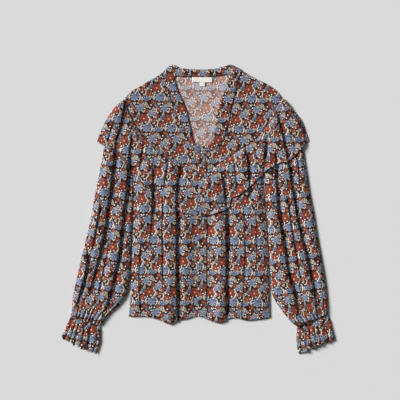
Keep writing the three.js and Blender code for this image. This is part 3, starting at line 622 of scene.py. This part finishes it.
FOLDS = [  # depth, breadth, ridge, its place and width, top, bottom, fade, then y, x down the trough
    Fold(0.98, 15, 4.8, 15, 13, 330, -235, 30, (279, -202), (221, -211), (169, -225), (106, -231), (-19, -244),
         (-102, -258), (-165, -272), (-225, -286)),
    Fold(0.98, 14, 4.4, 15, 13, 215, -285, 40, (196, -183), (138, -189), (86, -193), (34, -196), (-70, -206),
         (-127, -213), (-216, -230), (-275, -246)),
    Fold(0.95, 10, 2.6, 10, 9, -90, -275, 30, (-142, -293), (-170, -298), (-251, -317)),
    Fold(0.88, 12, 3.4, 18, 16, 165, -110, 110, (150, -119), (108, -125), (-16, -127), (-172, -128), (-269, -125)),
    Fold(0.98, 16, 7, 19, 17, 135, -380, 30, (115, -54), (75, -62), (26, -65), (-10, -64), (-249, -58), (-288, -55)),
    Fold(0.98, 13, 7, 19, 17, 105, -380, 40, (91, 54), (44, 60), (8, 65), (-252, 70)),
    Fold(0.97, 13, 4, 13, 12, 190, 20, 30, (170, 112), (131, 118), (71, 124)),
    Fold(0.97, 12, 4, 12, 11, 205, 60, 30, (181, 164), (145, 164), (100, 160)),
    Fold(0.98, 14, 4.4, 13, 12, 165, -285, 30, (124, 191), (41, 197), (-26, 204), (-94, 218), (-161, 230),
         (-218, 246), (-264, 257)),
    Fold(0.98, 15, 4.8, 16, 13, 320, -285, 30, (280, 188), (249, 194), (208, 205), (140, 222), (73, 233),
         (-41, 256), (-129, 278), (-199, 295), (-261, 307)),
]
SMALL_FOLDS = [  # the same, for the slighter creases between them
    Fold(0.5, 6, 0.8, 9, 8, 60, -240, 60, (50, -96), (-60, -99), (-240, -92)),
    Fold(0.4, 5, 0.5, 8, 7, -60, -330, 60, (-80, -152), (-180, -156), (-270, -150)),
    Fold(0.3, 5, 0.7, 12, 11, 20, -300, 60, (0, 31), (-120, 28), (-270, 34)),
    Fold(0.34, 6, 0.9, 12, 11, 40, -320, 60, (10, 112), (-110, 118), (-270, 113)),
    Fold(0.3, 5, 0.6, 8, 7, 20, -200, 60, (-30, 146), (-220, 152)),
    Fold(0.55, 6, 0.8, 8, 7, 40, -230, 50, (0, -262), (-90, -276), (-190, -300)),
    Fold(0.55, 6, 0.8, 8, 7, 60, -230, 50, (40, 224), (-60, 240), (-170, 262)),
    Fold(0.6, 7, 1, 8, 7, 20, -250, 50, (0, -225), (-100, -238), (-200, -258)),
    Fold(0.55, 6, 0.8, 8, 7, 250, 60, 50, (230, -228), (150, -250), (80, -258)),
    Fold(0.55, 6, 0.8, 8, 7, 250, 40, 50, (240, 218), (150, 246), (60, 258)),
    Fold(0.6, 6, 0.8, 7, 6, 140, 40, 25, (120, -88), (80, -94), (50, -97)),
    Fold(0.6, 6, 0.8, 7, 6, 185, 90, 25, (170, -152), (130, -158), (100, -160)),
    Fold(0.6, 6, 0.8, 7, 6, 140, 30, 25, (125, 84), (80, 90), (40, 93)),
    Fold(0.6, 6, 0.8, 7, 6, 190, 100, 25, (180, 138), (140, 142), (110, 143)),
]

placket_left = through(PLACKET_EDGE)
yoke_seam = {hand: through(rows) for hand, rows in YOKE_SEAM.items()}
flounce_edge = {hand: through(rows) for hand, rows in FLOUNCE_EDGE.items()}


def centre_at(y):
    return placket_left(y) + PLACKET_WIDTH / 2


def by_hand(x, left, right):
    return np.where(x < 0, left, right)


def roll_up(distance, reach):
    """Rises from 0 at an edge to 1 at a distance in from it, like the side of a soft roll."""
    return np.sin(np.clip(distance / reach, 0, 1) * math.pi / 2)


def uncovered(x, y):
    """1 on cloth that lies open, and 0 on what is well under a flounce."""
    edge = by_hand(x, flounce_edge["left"](x), flounce_edge["right"](x))
    return smooth((edge - y) / RISE["cover"] + 0.5)


def folded(x, y, swell):
    """Height of cloth with its folds, and how far their ridges lean to the right."""
    height = swell + 0 * x
    left_over = 1 + 0 * x
    lean = 0 * x
    for fold in FOLDS + SMALL_FOLDS:
        offset = x - fold.line(y) + FOLD_SHIFT
        strength = fold.strength(y)
        height = height + fold.ridge * strength * bell((offset + fold.ridge_at) / fold.ridge_width)
        width = np.where(offset < 0, CORE_LEFT, fold.breadth + CORE_RIGHT_EXTRA)
        core = np.exp(-np.abs(offset / width) ** CORE_POWER)
        slope = np.where(offset < 0, core, bell(offset / SLOPE))
        sunk = np.maximum(core, SLOPE_SHARE * slope)
        left_over = left_over * (1 - fold.depth * strength * sunk)
        lean = lean + LEAN * fold.depth * strength * bell((offset + LEAN_AT) / LEAN_WIDTH)
    return height * left_over, lean


def body_relief(x, y):
    """Height of the fronts above where they would lie flat, and their lean."""
    side = by_hand(x, side_at("left", y), side_at("right", y))
    from_side = np.abs(side) - np.abs(x)
    from_placket = np.abs(x - centre_at(y)) - PLACKET_WIDTH / 2 - PLACKET_MARGIN
    rise = roll_up(from_side, RISE["side"]) * roll_up(from_placket, RISE["placket"]) * uncovered(x, y)
    height, lean = folded(x, y, SWELL["body"])
    return (height + unevenness(x, y, 11, 34, 0.28)) * rise, lean * rise


SEAM_DIP = 0.7
SEAM_REACH = 8
HEM_STITCHES = 0.017
HEM_SETTLED = 0.3
HEM_REACH = 34
FRONT_ACROSS = 156
STITCH_PITCH = 3.4
STITCH_HALF = (1.2, 0.32, 0.25)

thread = bpy.data.materials.new("sewing_thread")
thread.use_nodes = True
thread_wire = Wire(thread.node_tree)
thread_place = thread_wire.node("ShaderNodeTexCoord", {}, {}, 3)
thread_twist = thread_wire.node("ShaderNodeTexNoise", {}, {"Vector": thread_place, "Scale": 2200})
thread_tone = thread_twist.edge(1.4).over(srgb(44, 30, 30), srgb(78, 54, 50))
thread_shader = thread.node_tree.nodes["Principled BSDF"]
thread.node_tree.links.new(thread_tone.socket, thread_shader.inputs["Base Color"])
thread_shader.inputs["Roughness"].default_value = 0.6


def select_only(piece):
    deselect_all()
    piece.select_set(True)
    bpy.context.view_layer.objects.active = piece


def stitch_rows(name, rows, colour=thread):
    """Small rounded stitches along lines of points, as one object."""
    middles, tangents = [], []
    for row in rows:
        line = np.stack(np.broadcast_arrays(*row), axis=-1)
        paces = np.concatenate([[0], np.cumsum(np.linalg.norm(np.diff(line, axis=0), axis=1))])
        distances = np.arange(STITCH_PITCH / 2, paces[-1], STITCH_PITCH)
        ends = [
            np.stack([np.interp(distances + shift, paces, line[:, axis]) for axis in range(3)], axis=-1)
            for shift in (-STITCH_HALF[0], STITCH_HALF[0])
        ]
        middles.append((ends[0] + ends[1]) / 2)
        tangents.append((ends[1] - ends[0]) / np.linalg.norm(ends[1] - ends[0], axis=1)[:, None])
    middle, tangent = np.concatenate(middles)[:, None], np.concatenate(tangents)[:, None]
    side = np.cross([0.0, 0.0, 1.0], tangent)
    deselect_all()
    bpy.ops.mesh.primitive_ico_sphere_add(subdivisions=1, radius=1, location=(0, 0, 0))
    piece = bpy.context.object
    piece.name = name
    copies = piece.modifiers.new("row", "ARRAY")
    copies.count = len(middle)
    copies.use_relative_offset = False
    select_only(piece)
    bpy.ops.object.modifier_apply(modifier="row")
    bpy.ops.object.shade_smooth()
    points = np.zeros(3 * len(piece.data.vertices))
    piece.data.vertices.foreach_get("co", points)
    stitch = points.reshape(len(middle), -1, 3) * STITCH_HALF
    placed = middle + stitch[..., :1] * tangent + stitch[..., 1:2] * side + stitch[..., 2:] * [0, 0, 1]
    piece.data.vertices.foreach_set("co", placed.ravel() * MM)
    piece.data.materials.append(colour)
    piece.data.update()
    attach(piece, "root")
    return piece


def front_place(hand):
    """Places on a front, from its side to the centre and from its hem to the yoke seam."""
    side_x, centre_x = SIDE[hand][0][1], centre_at(hem_at(0))
    beside = GAP / 2 if hand == "right" else -GAP / 2
    hem_x = np.linspace(side_x, centre_x + beside, 30)
    tip = SHOULDER_POINT[hand][0]
    seam_x = np.linspace(tip, centre_at(yoke_seam[hand](0)) + beside, 30)
    low = walk(list(zip(hem_x, hem_at(hem_x))))
    seam_slope = yoke_seam[hand](seam_x + 0.5) - yoke_seam[hand](seam_x - 0.5)
    high = walk(list(zip(seam_x, yoke_seam[hand](seam_x) - 2 * GAP * np.hypot(1, seam_slope))))
    rows = np.linspace(hem_at(centre_x), yoke_seam[hand](seam_x[-1]) - 2 * GAP, 12)
    centre = walk(list(zip(centre_at(rows) + beside, rows)))
    return patch(low, high, side_walk(hand), centre)


def make_front(hand):
    place = front_place(hand)

    def surface(u, v):
        x, y = place(u, v)
        lift, lean = body_relief(x, y)
        seam = smooth((yoke_seam[hand](x) - y) / SEAM_REACH)
        from_hem = y - hem_at(x)
        from_placket = np.abs(x - centre_at(y)) - PLACKET_WIDTH / 2
        hem = 0.35 * smooth((9 - from_hem) / 1.5) * smooth((from_placket - 1) / 4)
        lift = lift * (HEM_SETTLED + (1 - HEM_SETTLED) * smooth(from_hem / HEM_REACH))
        return x + lean, y, FRONT_TOP + lift + hem - SEAM_DIP * (1 - seam)

    piece, order, u, v = cloth_grid(f"front_panel_{hand}", FRONT_ACROSS, 150)
    if hand == "right":
        u = 1 - u
    x, y, z = surface(u, v)
    centre_column = FRONT_ACROSS if hand == "left" else 0
    shape(piece, order, x, y, z, print_across(x, z, centre_column) + (40 if hand == "left" else 0), y)
    piece.data.materials.append(right_side)
    thicken(piece)
    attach(piece, "root")
    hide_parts(f"front_{hand}")
    along_hem = surface(np.linspace(0.01, 0.99, 600), np.full(600, HEM_STITCHES))
    hem_stitches = stitch_rows(f"front_hem_stitches_{hand}", [along_hem])
    return piece


front_left = make_front("left")
front_right = make_front("right")

# Sleeves: wide tubes of the same cloth, set into the armholes and gathered at the wrist. Each is
# pressed flat as it lies, and its upper side falls in long folds.
SLEEVE = {  # outer x, outer y, inner x, inner y of sections from the armhole to the wrist
    "left": [
        (-206.5, 282, -181, 79), (-232, 247, -180, 62), (-251, 205, -179, 40), (-257, 161, -179, 15),
        (-264, 116, -178, -10), (-272, 72, -178, -35), (-279, 33, -179, -60), (-289, -27, -180, -100),
        (-302, -92, -181, -145), (-314, -142, -183, -185), (-320, -172, -187, -215), (-325, -197, -196, -236),
        (-330, -225, -211, -255), (-333, -252, -229, -271), (-335, -270, -246, -291), (-336, -284, -257, -307),
    ],
    "right": [
        (201.5, 294, 158, 93), (229, 258, 160, 74), (250, 212, 162, 52), (260, 170, 165, 27), (267, 126, 168, 2),
        (275, 82, 170, -25), (280, 50, 173, -50), (292, -6, 176, -90), (303, -66, 179, -135), (315, -126, 182, -175),
        (321, -155, 185, -210), (326, -185, 195, -234), (331, -222, 213, -260), (333, -245, 234, -285),
        (333, -264, 252, -301),
    ],
}
SIDE_CLEARANCE = 1.2
TUBE_OVER = 104
TUBE_UNDER = 30
TUBE_SIDE = 6
TUBE_TURN = 2.5
SLEEVE_ROWS = 170
GATHERS_FROM = 0.72
WRIST_GATHERS = 10
sleeve_outer = {hand: through([(row[1], row[0]) for row in rows]) for hand, rows in SLEEVE.items()}
sleeve_inner = {hand: through([(row[3], row[2]) for row in rows]) for hand, rows in SLEEVE.items()}


def sleeve_relief(x, y):
    """Height of a sleeve's upper side above where it would lie flat, and its lean."""
    outer = np.abs(by_hand(x, sleeve_outer["left"](y), sleeve_outer["right"](y)))
    inner = np.abs(by_hand(x, sleeve_inner["left"](y), sleeve_inner["right"](y)))
    armhole = np.abs(by_hand(x, side_at("left", y), side_at("right", y)))
    from_outer = outer - np.abs(x)
    from_inner = np.abs(x) - np.maximum(inner, armhole)
    rise = roll_up(from_outer, RISE["sleeve"]) * roll_up(from_inner, RISE["sleeve"]) * uncovered(x, y)
    height, lean = folded(x, y, SWELL["sleeve"])
    return (height + unevenness(x, y, 17, 30, 0.35)) * rise, lean * rise


def ring():
    """One turn round a flattened tube: the share across, the bulge past a side, and the level."""
    over = np.linspace(0, 1, TUBE_OVER + 1)
    under = np.linspace(1, 0, TUBE_UNDER + 1)
    sweep = np.linspace(math.pi / 2, -math.pi / 2, TUBE_SIDE + 1)[1:-1]
    share = np.concatenate([over, np.ones_like(sweep), under, np.zeros_like(sweep), [0]])
    east, west = np.cos(sweep), -np.cos(sweep[::-1])
    bulge = np.concatenate([0 * over, east, 0 * under, west, [0]])
    level = np.concatenate([0 * over + 1, np.sin(sweep), 0 * under - 1, np.sin(sweep[::-1]), [1]])
    return share, bulge, level


def tube_places(edges, height_over, share, bulge, level, v):
    """Places on a flattened tube between its left and right edges."""
    west, east = edges(v)
    width = np.hypot(*np.moveaxis(east - west, -1, 0))
    across = (TUBE_TURN + share * (width - 2 * TUBE_TURN) + bulge * TUBE_TURN) / width
    x = west[..., 0] + (east - west)[..., 0] * across
    y = west[..., 1] + (east - west)[..., 1] * across
    lift, shift_x, shift_y = height_over(x, y, across, v)
    upper = np.clip(level, 0, 1)
    return x + shift_x * upper, y + shift_y * upper, FRONT_TOP / 2 * (1 + level) + lift * upper


def make_tube(name, edges, height_over, rows, print_turn, print_shift, held_from=1.0):
    """A flattened tube with the print wrapped round it."""
    share, bulge, level = ring()
    piece, order, u, v = cloth_grid(name, len(share) - 1, rows)
    x, y, z = tube_places(edges, height_over, share[None, :], bulge[None, :], level[None, :], v)
    c, s = math.cos(print_turn), math.sin(print_turn)
    grain_x = x * c + y * s
    grain_y = y * c - x * s
    steps = np.hypot(np.diff(grain_x, axis=1), np.diff(z, axis=1))
    held = int(held_from * rows)
    row_held = np.maximum(rows - held, 0)
    for row in range(row_held):
        steps[row] = np.maximum(steps[row], steps[row_held])
    walked = np.concatenate([np.zeros((len(x), 1)), np.cumsum(steps, axis=1)], axis=1)
    middle_column = TUBE_OVER // 2
    print_x = walked - walked[:, middle_column, None] + grain_x[:, middle_column, None]
    shape(piece, order, x, y, z, print_x + print_shift, grain_y)
    select_only(piece)
    bpy.ops.object.mode_set(mode="EDIT")
    bpy.ops.mesh.select_all(action="SELECT")
    bpy.ops.mesh.remove_doubles(threshold=0.00001)
    bpy.ops.mesh.select_all(action="DESELECT")
    bpy.ops.object.mode_set(mode="OBJECT")
    return piece


def edges_through(rows, hand, clear_side):
    """A tube's left and right edges at shares from the wrist end to the other end."""
    steps = range(len(rows))
    outer_x, outer_y, inner_x, inner_y = [through(list(zip(steps, column))) for column in zip(*rows)]

    def at(share):
        station = (1 - share) * (len(rows) - 1)
        outer = np.stack([outer_x(station), outer_y(station)], axis=-1)
        inner = np.stack([inner_x(station), inner_y(station)], axis=-1)
        if clear_side:
            clear = np.abs(side_at(hand, inner[..., 1])) + SIDE_CLEARANCE
            inner[..., 0] = np.sign(inner[..., 0]) * np.maximum(np.abs(inner[..., 0]), clear)
        return (outer, inner) if hand == "left" else (inner, outer)

    return at


def sleeve_height(x, y, across, along):
    lift, lean = sleeve_relief(x, y)
    crown = np.sin(math.pi * np.clip(across, 0, 1)) ** 0.5
    strength = smooth((1 - along - GATHERS_FROM) / (1 - GATHERS_FROM)) * crown
    warped = across + 0.012 * np.sin(17 * across + 3) + 0.01 * np.sin(y / 23)
    gathers = np.abs(np.sin(math.pi * WRIST_GATHERS * warped)) ** 0.7
    return lift * (1 - 0.55 * strength) + 4.6 * strength * gathers, lean, 0 * x


def make_sleeve(hand):
    turn = math.radians(-9 if hand == "left" else 10)
    edges = edges_through(SLEEVE[hand], hand, True)
    piece = make_tube(f"sleeve_tube_{hand}", edges, sleeve_height, SLEEVE_ROWS, turn, 10, 0.72)
    piece.data.materials.append(right_side)
    thicken(piece)
    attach(piece, "root")
    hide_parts(f"sleeve_{hand}")
    return piece


sleeve_left = make_sleeve("left")
sleeve_right = make_sleeve("right")

# Cuffs: an elastic casing shirrs each wrist, and the cloth below it opens into a wavy frill with a
# narrow turned hem.
CUFF = {  # outer x, outer y, inner x, inner y of sections from the wrist to the frill's edge
    "left": [
        (-336.3, -284.9, -257.3, -307.9), (-341, -296, -258, -316), (-346, -307, -258, -327),
        (-350, -324, -258, -351), (-353, -340, -266, -378),
    ],
    "right": [
        (333.4, -264.8, 252.4, -301.8), (338, -279, 252, -312), (342, -292, 252, -325),
        (347, -311, 253, -348), (353, -333, 259, -372),
    ],
}
CUFF_BOW = {"left": 5, "right": -3}
CUFF_ROWS = 52
CUFF_WAVES = 6.5
CUFF_START = 0.4
CUFF_FLARE = {"left": 9, "right": 0}


def make_cuff(hand):
    bow_depth = CUFF_BOW[hand]
    edges = edges_through(CUFF[hand], hand, False)
    (west_x, west_y), (east_x, east_y) = [side[0] for side in edges(np.array([0.0]))]
    down = np.array([east_y - west_y, west_x - east_x])
    down = down / np.hypot(*down)

    def height(x, y, across, along):
        out = 1 - along
        inner = np.clip(across, 0, 1)
        crown = np.sin(math.pi * inner) ** 0.5
        warped = inner + 0.045 * np.sin(7 * inner + bow_depth) + 0.02 * np.sin(17 * inner + 4 * out)
        wave = ((1 + np.cos(2 * math.pi * CUFF_WAVES * warped)) / 2) ** 0.7
        fine = np.abs(np.sin(math.pi * 1.5 * CUFF_WAVES * inner + 3 * np.sin(5 * inner)))
        casing = bell((out - 0.14) / 0.12)
        lift = crown * (SWELL["cuff"] * out + 5.2 * wave * smooth(out / 0.5 + 0.2) + 2 * fine * (1 - out) ** 2)
        lift = lift * (1 - 0.75 * casing)
        ragged = 2.6 * np.sin(2 * math.pi * 4.4 * inner + bow_depth)
        ragged = ragged + 1.8 * np.sin(2 * math.pi * CUFF_WAVES * warped)
        away = bow_depth * out ** 4 * np.sin(math.pi * inner) + ragged * out ** 3 + CUFF_START * (1 - out)
        lean = 3 * out * np.sin(2 * math.pi * CUFF_WAVES * warped) * crown
        flare = -CUFF_FLARE[hand] * out ** 3 * (1 - smooth(inner / 0.3))
        return lift, away * down[0] - (lean + flare) * down[1], away * down[1] + (lean + flare) * down[0]

    turn = math.radians(-14 if hand == "left" else 16)
    piece = make_tube(f"cuff_frill_{hand}", edges, height, CUFF_ROWS, turn, 25)
    piece.data.materials.append(right_side)
    piece.data.materials.append(wrong_side)
    thicken(piece, 1)
    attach(piece, "root")
    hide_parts(f"cuff_{hand}")
    share = np.linspace(0.02, 0.98, 300)
    rows = [tube_places(edges, height, share, 0, 1, np.full(300, along)) for along in (0.05, 0.75, 0.94)]
    seams = stitch_rows(f"cuff_stitches_{hand}", rows)
    return piece


cuff_left = make_cuff("left")
cuff_right = make_cuff("right")

# Neck band: a narrow double strip round the back of the neck and down both edges of the V, crowned
# by the seam turnings inside it.
NECK_BAND = [  # opening x, y, then outer x, y, round from the bottom of the V
    (0, 165, 2, 150), (13, 168, 17, 151), (22, 174, 30, 156), (28, 189, 50, 174), (29, 208, 61, 197),
    (32, 232, 68, 227), (35, 256, 73, 258), (44, 286, 81, 290), (55, 310, 87, 318), (61, 333, 92, 342),
    (64, 347, 99.5, 362.5), (61, 352, 78, 375), (54, 352, 66, 378), (42, 349.5, 48, 372.5), (22, 346.5, 24, 366.7),
    (-5, 344.8, -7, 364.3), (-31, 344.8, -37, 364.7), (-55, 345, -62, 368), (-71, 346, -85, 375),
    (-77, 342, -106.5, 355.5), (-74, 328, -101, 334), (-66, 305, -91, 307), (-54, 280, -83, 282),
    (-43, 253, -75, 254), (-37, 227, -61, 229), (-31, 204, -47, 203), (-28, 186, -37, 182), (-21, 173, -29, 165),
    (-11, 167, -16, 153),
]
BAND_TURNS = {"right_shoulder": 10, "left_shoulder": 19, "whole": len(NECK_BAND)}
BAND_ROWS = 460
BAND_COLUMNS = 16
band_columns = [through(list(enumerate(column + column[:1]))) for column in zip(*NECK_BAND)]


def band_open(turn):
    return np.stack([band_columns[0](turn), band_columns[1](turn)], axis=-1)


def band_outer(turn):
    return np.stack([band_columns[2](turn), band_columns[3](turn)], axis=-1)


def band_surface(u, v):
    turn = (1 - v) * BAND_TURNS["whole"]
    inner_edge, outer_edge = band_open(turn), band_outer(turn)
    place = inner_edge + (outer_edge - inner_edge) * (1 - u)[..., None]
    strip_width = np.hypot(*np.moveaxis(outer_edge - inner_edge, -1, 0))
    from_opening, from_yoke = (1 - u) * strip_width, u * strip_width
    z = FRONT_TOP + 1.6 - 1.0 * (1 - roll_up(from_opening, 2)) - 2.4 * (1 - smooth(from_yoke / 6))
    return place[..., 0], place[..., 1], z + 0.3 * np.sin(turn * 2.1) * np.sin(math.pi * u)


piece, order, u, v = cloth_grid("neck_band_strip", BAND_COLUMNS, BAND_ROWS)
x, y, z = band_surface(u, v)
shape(piece, order, x, y, z, x + 17, y + 3)
select_only(piece)
bpy.ops.object.mode_set(mode="EDIT")
bpy.ops.mesh.select_all(action="SELECT")
bpy.ops.mesh.remove_doubles(threshold=0.00001)
bpy.ops.object.mode_set(mode="OBJECT")
piece.data.materials.append(right_side)
thicken(piece)
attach(piece, "root")
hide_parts("neck_band")
round_band = np.linspace(0, 1, 2400)
band_stitches = stitch_rows(
    "neck_band_stitches", [band_surface(np.full(2400, share), round_band) for share in (0.1, 0.88)]
)

# Yokes: smooth panels between the shoulder, the neck band and the yoke seam.
YOKE_TIP_SHARE = 0.993
SHOULDER = {
    "left": [(-205, 287), (-187, 305), (-159, 322), (-130, 340), (-107, 355)],
    "right": [(200, 299), (187, 313), (164, 329), (132, 344), (100, 362)],
}


def make_yoke(hand):
    turns = np.linspace(BAND_TURNS[f"{hand}_shoulder"], BAND_TURNS["whole"] if hand == "left" else 0, 40)
    outer_edge, inner_edge = band_outer(turns), band_open(turns)
    away = outer_edge - inner_edge
    beside = outer_edge + 2 * GAP * away / np.hypot(*away.T)[:, None]
    beside_placket = GAP / 2 if hand == "right" else -GAP / 2
    tip = SHOULDER_POINT[hand][0] * YOKE_TIP_SHARE
    seam_x = np.linspace(tip, centre_at(yoke_seam[hand](0)) + beside_placket, 40)
    seam = list(zip(seam_x, yoke_seam[hand](seam_x)))
    shoulder = SHOULDER[hand]
    top = walk(shoulder, [tuple(point) for point in beside])
    place = patch(walk(seam), top, walk([seam[0], shoulder[0]]), walk([seam[-1], tuple(beside[-1])]))
    piece, order, u, v = cloth_grid(f"yoke_panel_{hand}", 110, 60)
    if hand == "right":
        u = 1 - u
    x, y = place(u, v)
    from_band = np.min(np.hypot(x[..., None] - beside[:, 0], y[..., None] - beside[:, 1]), axis=-1)
    from_seam = np.abs(y - yoke_seam[hand](x))
    edge = np.minimum(smooth(from_band / 5), 0.55 + 0.45 * smooth(from_seam / 4))
    beside_strip = smooth((np.abs(x - centre_at(y)) - PLACKET_WIDTH / 2 - 1) / 9)
    z = FRONT_TOP - 0.15 + 0.35 * beside_strip
    z = z + unevenness(x, y, 23, 45, 0.25, 1.2) * edge * beside_strip - 1.2 * (1 - edge)
    shape(piece, order, x, y, z, x + (52 if hand == "left" else 5), y + 30)
    piece.data.materials.append(right_side)
    thicken(piece)
    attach(piece, "root")
    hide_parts(f"yoke_{hand}")
    return piece


yoke_left = make_yoke("left")
yoke_right = make_yoke("right")

# Placket: the double strip down the centre front, edge-stitched and closed, right over left.
BAND_FOOT_LEVEL = 153
PLACKET_TOP_GAP = 1.2
foot_turns = np.concatenate([np.linspace(27, 29, 40), np.linspace(0, 2, 40)[1:]])
foot_points = band_outer(foot_turns)
foot_order = np.argsort(foot_points[:, 0])


def band_foot(x):
    """The neck band's outer edge at the bottom of the V."""
    return np.interp(x, foot_points[foot_order, 0], foot_points[foot_order, 1])


def placket_surface(u, v):
    top_x = placket_left(BAND_FOOT_LEVEL) + u * PLACKET_WIDTH
    y = hem_at(0) + v * (band_foot(top_x) - PLACKET_TOP_GAP - hem_at(0))
    x = placket_left(y) + u * PLACKET_WIDTH
    edge_roll = np.minimum(u, 1 - u) * PLACKET_WIDTH
    z = FRONT_TOP + GAP + WALL - 0.9 * (1 - roll_up(edge_roll, 1.6)) + unevenness(y, x, 31, 60, 0.12)
    return x, y, z


piece, order, u, v = cloth_grid("placket_strip", 18, 200)
x, y, z = placket_surface(u, v)
shape(piece, order, x, y, z, x + 8, y - 12)
piece.data.materials.append(right_side)
thicken(piece)
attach(piece, "root")
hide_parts("placket")
down_placket = np.linspace(0.01, 0.97, 900)
placket_stitches = stitch_rows(
    "placket_stitches", [placket_surface(np.full(900, share), down_placket) for share in (0.13, 0.87)]
)

# Flounces: gathered strips set into the yoke seams. Each hangs over its front and round the top of
# the sleeve, and its free edge has a narrow turned hem.
FLOUNCE_END = {
    "left": [(-208, 284), (-236, 255), (-256, 223), (-267, 198), (-276, 171)],
    "right": [(204, 295), (227, 268), (254, 237), (267, 206), (276, 184)],
}
FLOUNCE_GATHERS = {"left": 23, "right": 24}
FLOUNCE_ACROSS = 220
FLOUNCE_DROP = 0.65
FLOUNCE_DROP_REACH = 0.035


def under_flounce(x, y):
    """Top of whatever lies under a flounce."""
    outer = np.abs(by_hand(x, sleeve_outer["left"](y), sleeve_outer["right"](y)))
    armhole = np.abs(by_hand(x, side_at("left", y), side_at("right", y)))
    lift = np.where(np.abs(x) > armhole, sleeve_relief(x, y)[0], body_relief(x, y)[0])
    on_placket = np.abs(x - centre_at(y)) < PLACKET_WIDTH / 2
    height = FRONT_TOP + lift + np.where(on_placket, GAP + WALL, 0)
    return np.where(np.abs(x) > outer, 0, height)


def highest_near(x, y):
    highest = under_flounce(x, y)
    for shift_x, shift_y in [(-8, 0), (-4, 0), (4, 0), (8, 0), (0, 7), (0, -7), (-6, 6), (6, -6), (6, 6), (-6, -6)]:
        highest = np.maximum(highest, under_flounce(x + shift_x, y + shift_y))
    return highest


def make_flounce(hand):
    left_hand = hand == "left"
    seam_rows = [row for row in YOKE_SEAM[hand] if not left_hand or row[0] < placket_left(row[1])]
    edge_rows = FLOUNCE_EDGE[hand]
    if not left_hand:
        seam_rows, edge_rows = seam_rows[::-1], edge_rows[::-1]
    end = walk(FLOUNCE_END[hand])
    rows = np.linspace(edge_rows[-1][1], seam_rows[-1][1], 10)
    front_x = placket_left(rows) + (-GAP if left_hand else GAP)
    front_edge = walk(list(zip(front_x, rows)))
    place = patch(walk(edge_rows), walk(seam_rows), lambda share: end(1 - share), front_edge)

    def surface(u, v):
        x, y = place(u, v)
        from_seam = np.maximum(0, yoke_seam[hand](x) - y)
        opening = smooth((from_seam + 12) / 45)
        settled = 0.3 + 0.7 * smooth(v / 0.3)
        height, lean = folded(x, y, SWELL["flounce"])
        pitch = math.pi * FLOUNCE_GATHERS[hand]
        gathers = np.abs(np.sin(pitch * (u + 0.012 * np.sin(23 * u) + 0.008 * np.sin(9 * (1 - v)))))
        own = height * opening + 1.3 * gathers * smooth(from_seam / 7) * smooth((v - 0.2) / 0.8)
        rolled = 0.4 + 0.8 * smooth(from_seam / 7) * settled - 0.3 * (1 - smooth(from_seam / 9))
        hem = 0.25 * smooth((0.06 - v) / 0.02)
        z = np.maximum(CLOTH + GAP, highest_near(x, y) + GAP + 0.2) + rolled + own * settled + hem
        z = z + unevenness(x, y, 37, 38, 0.3, 0.5) * opening
        down_at_end = FLOUNCE_DROP * (1 - smooth(u / FLOUNCE_DROP_REACH)) * smooth((0.9 - v) / 0.3)
        return x + lean * opening, y, z - (z - CLOTH - GAP) * down_at_end

    piece, order, u, v = cloth_grid(f"flounce_{hand}", FLOUNCE_ACROSS, 84)
    if not left_hand:
        u = 1 - u
    x, y, z = surface(u, v)
    reference = FLOUNCE_ACROSS if left_hand else 0
    print_x = print_across(x, z, reference) + (22 if left_hand else 48)
    shape(piece, order, x, y, z, print_x, y + (9 if left_hand else 51))
    piece.data.materials.append(right_side)
    thicken(piece)
    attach(piece, "root")
    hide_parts(f"ruffle_{hand}")
    along_hem = surface(np.linspace(0.01, 0.99, 900), np.full(900, 0.045))
    hem_stitches = stitch_rows(f"flounce_hem_stitches_{hand}", [along_hem])
    return piece


flounce_left = make_flounce("left")
flounce_right = make_flounce("right")

# Label and size tab: blank woven satin tapes, sewn to the inside of the back neck.
TAPES = {
    "label": ("label_tape_piece", -31, 22, 331, 344.2),
    "size_tab": ("size_tape_piece", -11, 2.5, 321, 330.7),
}
satin = bpy.data.materials.new("woven_satin")
satin.use_nodes = True
satin_wire = Wire(satin.node_tree)
satin_shader = satin.node_tree.nodes["Principled BSDF"]
satin_place = satin_wire.node("ShaderNodeTexCoord", {}, {}, 3)
satin_weave = satin_wire.node("ShaderNodeTexWave", {}, {"Vector": satin_place, "Scale": 400, "Distortion": 0.5})
satin_tone = satin_weave.edge(1.6).over(srgb(226, 221, 209), srgb(242, 239, 231))
satin_bump = satin_wire.node("ShaderNodeBump", {}, {"Strength": 0.2, "Distance": 0.0002, "Height": satin_weave})
satin.node_tree.links.new(satin_tone.socket, satin_shader.inputs["Base Color"])
satin.node_tree.links.new(satin_bump.socket, satin_shader.inputs["Normal"])
satin_shader.inputs["Roughness"].default_value = 0.45
for node_name, (name, left, right, bottom, top) in TAPES.items():
    piece, order, u, v = cloth_grid(name, 26, 12)
    x = left + u * (right - left)
    y = bottom + v * (top - bottom)
    z = 2.5 + 0.3 * roll_up(np.minimum(u, 1 - u) * (right - left), 2) + unevenness(x, y, 41, 20, 0.06)
    shape(piece, order, x, y, z, x, y)
    piece.data.materials.append(satin)
    thicken(piece)
    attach(piece, "root")
    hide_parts(node_name)
